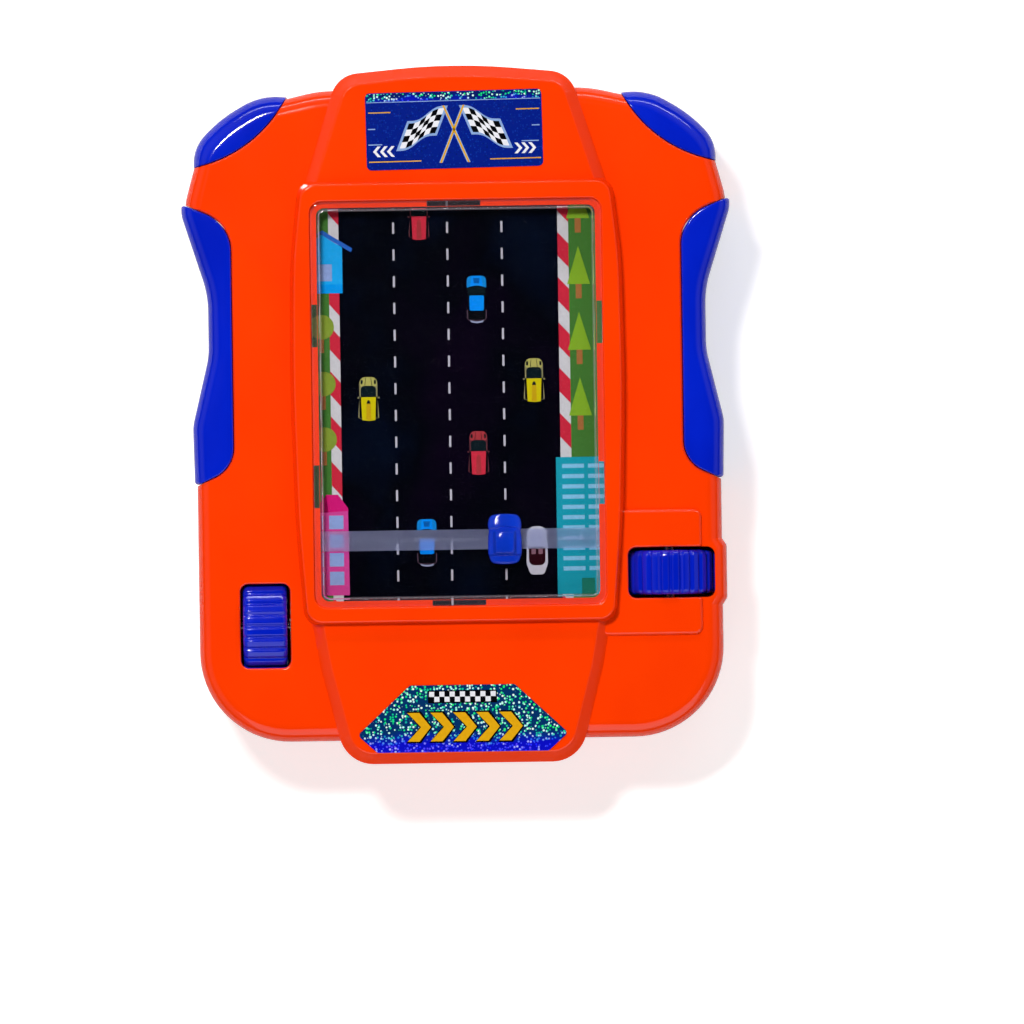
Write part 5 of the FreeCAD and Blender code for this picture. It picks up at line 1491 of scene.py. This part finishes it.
@dataclass(frozen=True)
class HeaderSticker:
    """Foil sticker over the window: crossed chequered flags between speed lines and chevrons."""

    half: tuple[float, float] = (21.5, 9.4)
    turn_deg: float = 0.8
    glitter: float = 2.1
    cells: tuple[int, int] = (6, 4)
    flag_size: tuple[float, float] = (9.6, 6.6)
    flag_wave: float = 0.55
    flag_lean_deg: float = 24.0
    flag_corner: tuple[float, float] = (2.2, 5.3)
    flag_slant: float = 0.9
    pole_foot: tuple[float, float] = (3.4, -8.0)
    pole_over: float = 1.05
    border: tuple[float, float] = (0.07, 0.1)
    line_half: float = 0.13
    speed_lines: tuple[tuple[float, float, float, Ink], ...] = (
        (4.6, -20.8, -15.4, Ink.GOLD), (4.6, 15.2, 20.9, Ink.GOLD), (-3.2, -21.0, -17.6, Ink.SKY),
        (-3.2, 16.4, 20.6, Ink.SKY), (-7.4, -20.9, -8.2, Ink.GOLD), (-7.4, 8.6, 21.0, Ink.GOLD),
        (0.6, -21.0, -19.2, Ink.SKY), (0.6, 19.0, 20.9, Ink.SKY))
    arrow: tuple[tuple[float, float], ...] = ((0.0, -6.2), (0.8, -6.2), (1.9, -4.9), (0.8, -3.6),
                                              (0.0, -3.6), (1.1, -4.9))
    arrow_x: float = 14.6
    arrow_pitch: float = 1.7
    margin: float = 0.3
    sheet: InkSheet = field(default_factory=InkSheet)

    def place(self, points: np.ndarray) -> np.ndarray:
        """Turns rows (across, along, height) by the sticker's tilt and lays them on it.

        Args:
            points: Rows (across, along, height).

        Returns:
            Rows (x, y, z), in millimetres.
        """
        low, high = [np.array(corner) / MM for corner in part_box("header_label")]
        turn = math.radians(self.turn_deg)
        x, y, h = points.T
        centre = (low + high) / 2.0
        return np.stack([centre[0] + x * math.cos(turn) - y * math.sin(turn),
                         centre[1] + x * math.sin(turn) + y * math.cos(turn), high[2] + h], axis=1)

    def flag_points(self, side: float, across: np.ndarray, down: np.ndarray) -> np.ndarray:
        """Points of one waving flag.

        Shares across and down its cloth are stretched along a pole that leans outwards, and the cloth
        rises and falls as a sine across it.

        Args:
            side: 1 for the flag on the right, -1 for the left one.
            across: Shares across the cloth, from its pole.
            down: Shares down the cloth, from its top.

        Returns:
            Rows (x, y).
        """
        lean = math.radians(self.flag_lean_deg)
        length, height = self.flag_size
        x0, y0 = self.flag_corner
        wave = self.flag_wave * np.sin(2.0 * math.pi * across)
        x = x0 + across * length * math.cos(lean) + down * height * math.sin(lean) * self.flag_slant
        y = y0 - across * length * math.sin(lean) * self.flag_slant - down * height * math.cos(lean) + wave
        return np.stack([side * x, y], axis=-1)

    def flags(self) -> None:
        """Prints both flags: a pale border, chequers and a gold pole each."""
        columns, rows = self.cells
        for side in (-1.0, 1.0):
            base_x, base_y = -side * self.pole_foot[0], self.pole_foot[1]
            tip = self.flag_points(side, np.array([0.0]), np.array([0.0]))[0]
            lead = (tip - np.array([base_x, base_y])) * self.pole_over
            top = np.array([base_x, base_y]) + lead
            for grow, ink, layer in ((0.42, Ink.SKY, 1), (0.22, Ink.GOLD, 4)):
                pole = [(base_x - grow, base_y), (base_x + grow, base_y), (top[0] + grow, top[1]),
                        (top[0] - grow, top[1])]
                self.sheet.polygon(pole, ink, layer)
            out, rim = self.border
            share = np.linspace(-out, 1.0 + out, 25)
            upper = self.flag_points(side, share, np.full(share.size, -rim))
            lower = self.flag_points(side, share[::-1], np.full(share.size, 1.0 + rim))
            self.sheet.polygon(np.concatenate([upper, lower]), Ink.SKY, 2)
            for i in range(columns):
                for j in range(rows):
                    a = np.linspace(i, i + 1, 5) / columns
                    edge = self.flag_points(side, a, np.full(5, j / rows))
                    foot = self.flag_points(side, a[::-1], np.full(5, (j + 1) / rows))
                    ink = Ink.BLACK if (i + j) % 2 else Ink.PAPER
                    self.sheet.polygon(np.concatenate([edge, foot]), ink, 3)

    def lines(self) -> None:
        """Prints the thin speed lines and the chevrons that point away from the flags."""
        half_x = self.half[0] - self.margin
        strip_low = self.half[1] - self.glitter
        self.sheet.box(-half_x, half_x, strip_low - 0.28, strip_low - 0.1, Ink.SKY, 1)
        for y, x0, x1, ink in self.speed_lines:
            self.sheet.box(x0, x1, y - self.line_half, y + self.line_half, ink, 1)
        for side in (-1.0, 1.0):
            for i in range(3):
                x = self.arrow_x + self.arrow_pitch * i
                self.sheet.polygon([(side * (x + dx), y) for dx, y in self.arrow], Ink.PAPER, 1)

    def build(self, ink: Material, glitter: Material) -> list[Object]:
        """Builds the sticker's print and its glitter strip.

        Args:
            ink: Ink of the print.
            glitter: Foil of the strip.

        Returns:
            The print and the strip.
        """
        self.lines()
        self.flags()
        art = self.sheet.build("header_print", self.place, ink)
        half_x, half_y = self.half[0] - self.margin, self.half[1]
        strip = InkSheet()
        strip.box(-half_x, half_x, half_y - self.glitter, half_y - 0.2, Ink.PANEL, 1)
        shine = strip.build("header_glitter", self.place, glitter)
        for piece in (art, shine):
            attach(piece, "root")
        return [art, shine]


@dataclass(frozen=True)
class NoseSticker:
    """Glitter sticker below the window: a chequer band over a row of bold chevrons."""

    squares: int = 13
    square: float = 1.25
    band_top: float = -67.6
    chevrons: int = 5
    chevron_height: float = 7.0
    chevron_y: float = -76.2
    chevron_pitch: float = 5.6
    chevron_x: tuple[float, float, float, float] = (-2.3, 0.6, 3.4, 1.0)
    outline: float = 0.4
    margin: float = 0.3
    sheet: InkSheet = field(default_factory=InkSheet)

    def place(self, points: np.ndarray) -> np.ndarray:
        """Lays rows (x, y, height) on the sticker."""
        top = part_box("nose_label")[1][2] / MM
        return points + np.array([0.0, 0.0, top])

    def chevron(self, x: float, grow: float, ink: Ink, layer: int) -> None:
        """Prints one chevron that points right, grown by a margin.

        Args:
            x: Its place across.
            grow: Margin all round.
            ink: Its ink.
            layer: How many inks lie under it.
        """
        h = self.chevron_height / 2.0 + grow
        y = self.chevron_y
        back, shoulder, tip, notch = self.chevron_x
        edge = x + shoulder + grow
        self.sheet.polygon([(x + back - grow, y - h), (edge, y - h), (x + tip + grow, y), (edge, y + h),
                            (x + back - grow, y + h), (x + notch - grow, y)], ink, layer)

    def build(self, ink: Material) -> Object:
        """Builds the sticker's print.

        Args:
            ink: Ink of the print.

        Returns:
            The print.
        """
        left = -self.squares * self.square / 2.0
        band_low = self.band_top - 2 * self.square
        self.sheet.box(left - self.margin, -left + self.margin, band_low - self.margin,
                       self.band_top + self.margin, Ink.BLACK, 1)
        for i in range(self.squares):
            for j in range(2):
                if (i + j) % 2 == 0:
                    x, y = left + i * self.square, self.band_top - j * self.square
                    self.sheet.box(x, x + self.square, y - self.square, y, Ink.PAPER, 2)
        for i in range(self.chevrons):
            x = (i - (self.chevrons - 1) / 2.0) * self.chevron_pitch
            self.chevron(x, self.outline, Ink.BLACK, 1)
            self.chevron(x, 0.0, Ink.GOLD, 2)
        made = self.sheet.build("nose_print", self.place, ink)
        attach(made, "root")
        return made


class Casing:
    """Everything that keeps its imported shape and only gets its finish."""

    finishes: dict[str, str] = {
        "front_shell": "orange", "back_shell": "orange", "window_lens": "lens", "header_label": "foil",
        "nose_label": "glitter", "road_belt": "film", "belt_table": "white", "left_side_frame": "white",
        "right_side_frame": "white", "frame_screws": "zinc", "frame_foot_screws": "zinc",
        "case_screws": "zinc", "drive_roller": "black", "idler_roller": "black",
        "drive_roller_shaft": "steel", "idler_roller_shaft": "steel", "crank_gear": "acetal",
        "roller_pinion": "acetal", "crank_shaft": "steel", "steering_shaft": "steel",
        "cord_drum": "acetal", "cord_pulley": "acetal", "pulley_pin": "steel", "drive_cord": "cord",
        "car_rail": "rail", "car_carriage": "acetal",
    }

    def dress(self, materials: dict[str, Material]) -> None:
        """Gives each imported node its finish.

        Args:
            materials: Finishes by short name.
        """
        for node, finish in self.finishes.items():
            for slot in frame["nodes"][node].material_slots:
                slot.material = materials[finish]


@dataclass(frozen=True)
class Studio:
    """Pale floor, soft lamps and the camera straight above the toy."""

    aim: tuple[float, float, float] = (12.75, -24.05, 36.0)
    distance: float = 3000.0
    frame_width: float = 249.76
    roll_deg: float = -0.85
    sensor: float = 36.0
    clip: tuple[float, float] = (0.05, 20.0)
    floor_half: float = 3.0
    floor_gap: float = 0.0002
    floor_lift: float = 0.55
    floor_near: float = 5.0
    sky_strength: float = 0.42
    sky: Stops = ((0.44, "#ffffff"), (0.5, "#34363e"), (0.56, "#34363e"), (0.69, "#e2dfdc"),
                  (0.83, "#dcdad8"), (0.93, "#24262e"), (1.0, "#16181e"))
    lamps: tuple[tuple[str, Corner, tuple[float, float], float, str], ...] = (
        ("key", (-0.27, 0.42, 1.12), (0.20, 0.12), 10.5, "#fffaf4"),
        ("window", (0.10, 1.15, 0.56), (1.7, 0.06), 5.0, "#f6f8ff"),
        ("fill", (0.15, -0.90, 0.75), (1.6, 0.9), 4.9, "#ffffff"))

    def camera(self) -> None:
        """Makes the camera, which looks straight down on the face."""
        data = bpy.data.cameras.new("view")
        data.sensor_width = self.sensor
        data.lens = self.sensor * self.distance / self.frame_width
        data.clip_start, data.clip_end = self.clip
        camera = add_object("view", data)
        x, y, z = self.aim
        camera.location = Vector((x, y, z + self.distance)) * MM
        camera.rotation_euler = (0.0, 0.0, math.radians(self.roll_deg))
        bpy.context.scene.camera = camera

    def lamp(self, name: str, place: tuple[float, float, float], size: tuple[float, float],
             watts: float, colour: str) -> None:
        """Hangs a soft lamp that faces the toy.

        Args:
            name: Name of the lamp.
            place: Where it hangs, in metres.
            size: Width and height of its face, in metres.
            watts: Its power.
            colour: Its colour as hex.
        """
        data = bpy.data.lights.new(name, "AREA")
        data.shape = "RECTANGLE"
        data.size, data.size_y = size
        data.energy = watts
        data.color = linear(colour)[:3]
        lamp = add_object(name, data)
        lamp.location = place
        lamp.rotation_euler = Vector(place).to_track_quat("Z", "Y").to_euler()

    def floor(self) -> None:
        """Lays the pale floor, lifted to white for the camera while it keeps the toy's shadow.

        From below it is open, as it is just under the toy, so that the toy's back can be looked at.
        """
        mesh = bpy.data.meshes.new("floor")
        half = self.floor_half
        plan = ((-half, -half), (half, -half), (half, half), (-half, half))
        corners = [(x, y, -self.floor_gap) for x, y in plan]
        mesh.from_pydata(corners, [], [(0, 1, 2, 3)])
        material, tree = new_material("floor_paper")
        path = add_node(tree, "ShaderNodeLightPath")
        seen = add_node(tree, "ShaderNodeMath", {
            0: path.outputs["Is Camera Ray"], 1: self.floor_lift}, operation="MULTIPLY")
        shader = add_node(tree, "ShaderNodeBsdfPrincipled", {
            "Base Color": linear("#ececec"), "Roughness": 0.8, "Emission Color": (1.0, 1.0, 1.0, 1.0),
            "Emission Strength": seen.outputs[0]})
        side = add_node(tree, "ShaderNodeNewGeometry")
        reach = self.floor_gap * self.floor_near
        near = add_node(tree, "ShaderNodeMath", {
            0: path.outputs["Ray Length"], 1: reach}, operation="LESS_THAN")
        below = add_node(tree, "ShaderNodeMath", {
            0: side.outputs["Backfacing"], 1: near.outputs[0]}, operation="MAXIMUM")
        open_air = add_node(tree, "ShaderNodeBsdfTransparent")
        mixed = add_node(tree, "ShaderNodeMixShader", {
            0: below.outputs[0], 1: shader.outputs[0], 2: open_air.outputs[0]})
        add_node(tree, "ShaderNodeOutputMaterial", {"Surface": mixed.outputs[0]})
        mesh.materials.append(material)
        floor = add_object("floor", mesh)

    def world(self) -> None:
        """Fills the room with light that comes from its walls, under a dark ceiling."""
        world = bpy.data.worlds.new("room")
        world.use_nodes = True
        tree = world.node_tree
        tree.nodes.clear()
        place = add_node(tree, "ShaderNodeTexCoord")
        parts = add_node(tree, "ShaderNodeSeparateXYZ", {0: place.outputs["Generated"]})
        rise = add_node(tree, "ShaderNodeMath", {
            0: parts.outputs["Z"], 1: 0.5, 2: 0.5}, operation="MULTIPLY_ADD")
        colour = add_node(tree, "ShaderNodeValToRGB", {"Fac": rise.outputs[0]}, self.sky)
        glow = add_node(tree, "ShaderNodeBackground", {
            "Color": colour.outputs[0], "Strength": self.sky_strength})
        add_node(tree, "ShaderNodeOutputWorld", {"Surface": glow.outputs[0]})
        bpy.context.scene.world = world

    def build(self) -> None:
        """Sets up the whole studio."""
        self.camera()
        self.floor()
        self.world()
        for lamp in self.lamps:
            self.lamp(*lamp)
        bpy.context.scene.view_settings.view_transform = "Standard"


def make_materials() -> dict[str, Material]:
    """Builds every finish once.

    Returns:
        Materials by short name.
    """
    # Colours of the foils' painted glints: quiet for the fine header panel, cool and bright for the lower and
    # upper zones of the glitter.
    quiet = ((0.0, "#02186c"), (1.0, "#0a34a4"))
    cool = ((0.0, "#1c1cff"), (0.4, "#3a4cff"), (0.8, "#5a40ff"), (1.0, "#aab4ff"))
    bright = ((0.0, "#0ea8a8"), (0.2, "#12d48c"), (0.42, "#20f06c"), (0.6, "#80f8dc"), (0.8, "#e8fff4"),
              (1.0, "#a8f4ff"))
    finishes = {
        "orange": MouldedAbs("abs_orange_moulded", "#ff3e00", "#fb3a00", flow_mm=(22.0, 30.0, 20.0)),
        "blue": MouldedAbs("abs_blue_moulded", "#0322cc", "#021cbc", flow_mm=(12.0, 30.0, 12.0)),
        "car": MouldedAbs("abs_blue_car", "#0a3fdc", "#0834bc", roughness=0.07),
        "white": MatteAbs("abs_white_grained", "#e6e6e0", "#d8d8d2"),
        "black": MatteAbs("abs_black_grained", "#1a1a1c", "#101012"),
        "zinc": TurnedMetal("zinc_plated", "#c4c8cc", "#8e949c", (0.4, 0.4, 0.4)),
        "steel": TurnedMetal("steel_drawn", "#c9ccd0", "#9a9ea4", (8.0, 0.3, 0.3), 0.22),
        "acetal": Acetal(),
        "cord": ClearNylon(),
        "lens": LensStyrene(),
        "rail": FrostedStyrene(),
        "foil": HoloFoil("foil_blue_fine", ("#031c84", "#031c84"), (quiet, quiet), 0.5, cell_mm=0.5),
        "glitter": HoloFoil("foil_glitter_nose", ("#0a0ec4", "#043066"), (cool, bright), 0.86,
                            (-80.4, -77.4), 0.66),
        "strip": HoloFoil("foil_glitter_header", ("#0814b4", "#041c64"), (cool, bright), 0.8,
                          (76.4, 77.8), 0.6),
        "ink": PrintedInk(),
        "film": RoadFilm(),
    }
    return {name: finish.material() for name, finish in finishes.items()}


def main() -> None:
    """Builds the studio and every piece in order."""
    logging.basicConfig(level=logging.INFO, format="%(message)s")
    Studio().build()
    materials = make_materials()
    Casing().dress(materials)
    made = []
    for side in Side:
        made.append(SideGrip(side).build(materials["blue"]))
        made.append(CornerBumper(side).build(materials["blue"]))
    made.append(ThumbWheel("crank_wheel", "crank", "X").build(materials["blue"]))
    made.append(ThumbWheel("steering_wheel", "steering", "Y").build(materials["blue"]))
    made.append(PlayerCar().build(materials["car"]))
    made.append(RoadPrint().build(materials["ink"]))
    made += HeaderSticker().build(materials["ink"], materials["strip"])
    made.append(NoseSticker().build(materials["ink"]))
    for piece in made:
        log.info("%s: %d faces", piece.name, len(piece.data.polygons))


if __name__ == "__main__":
    main()
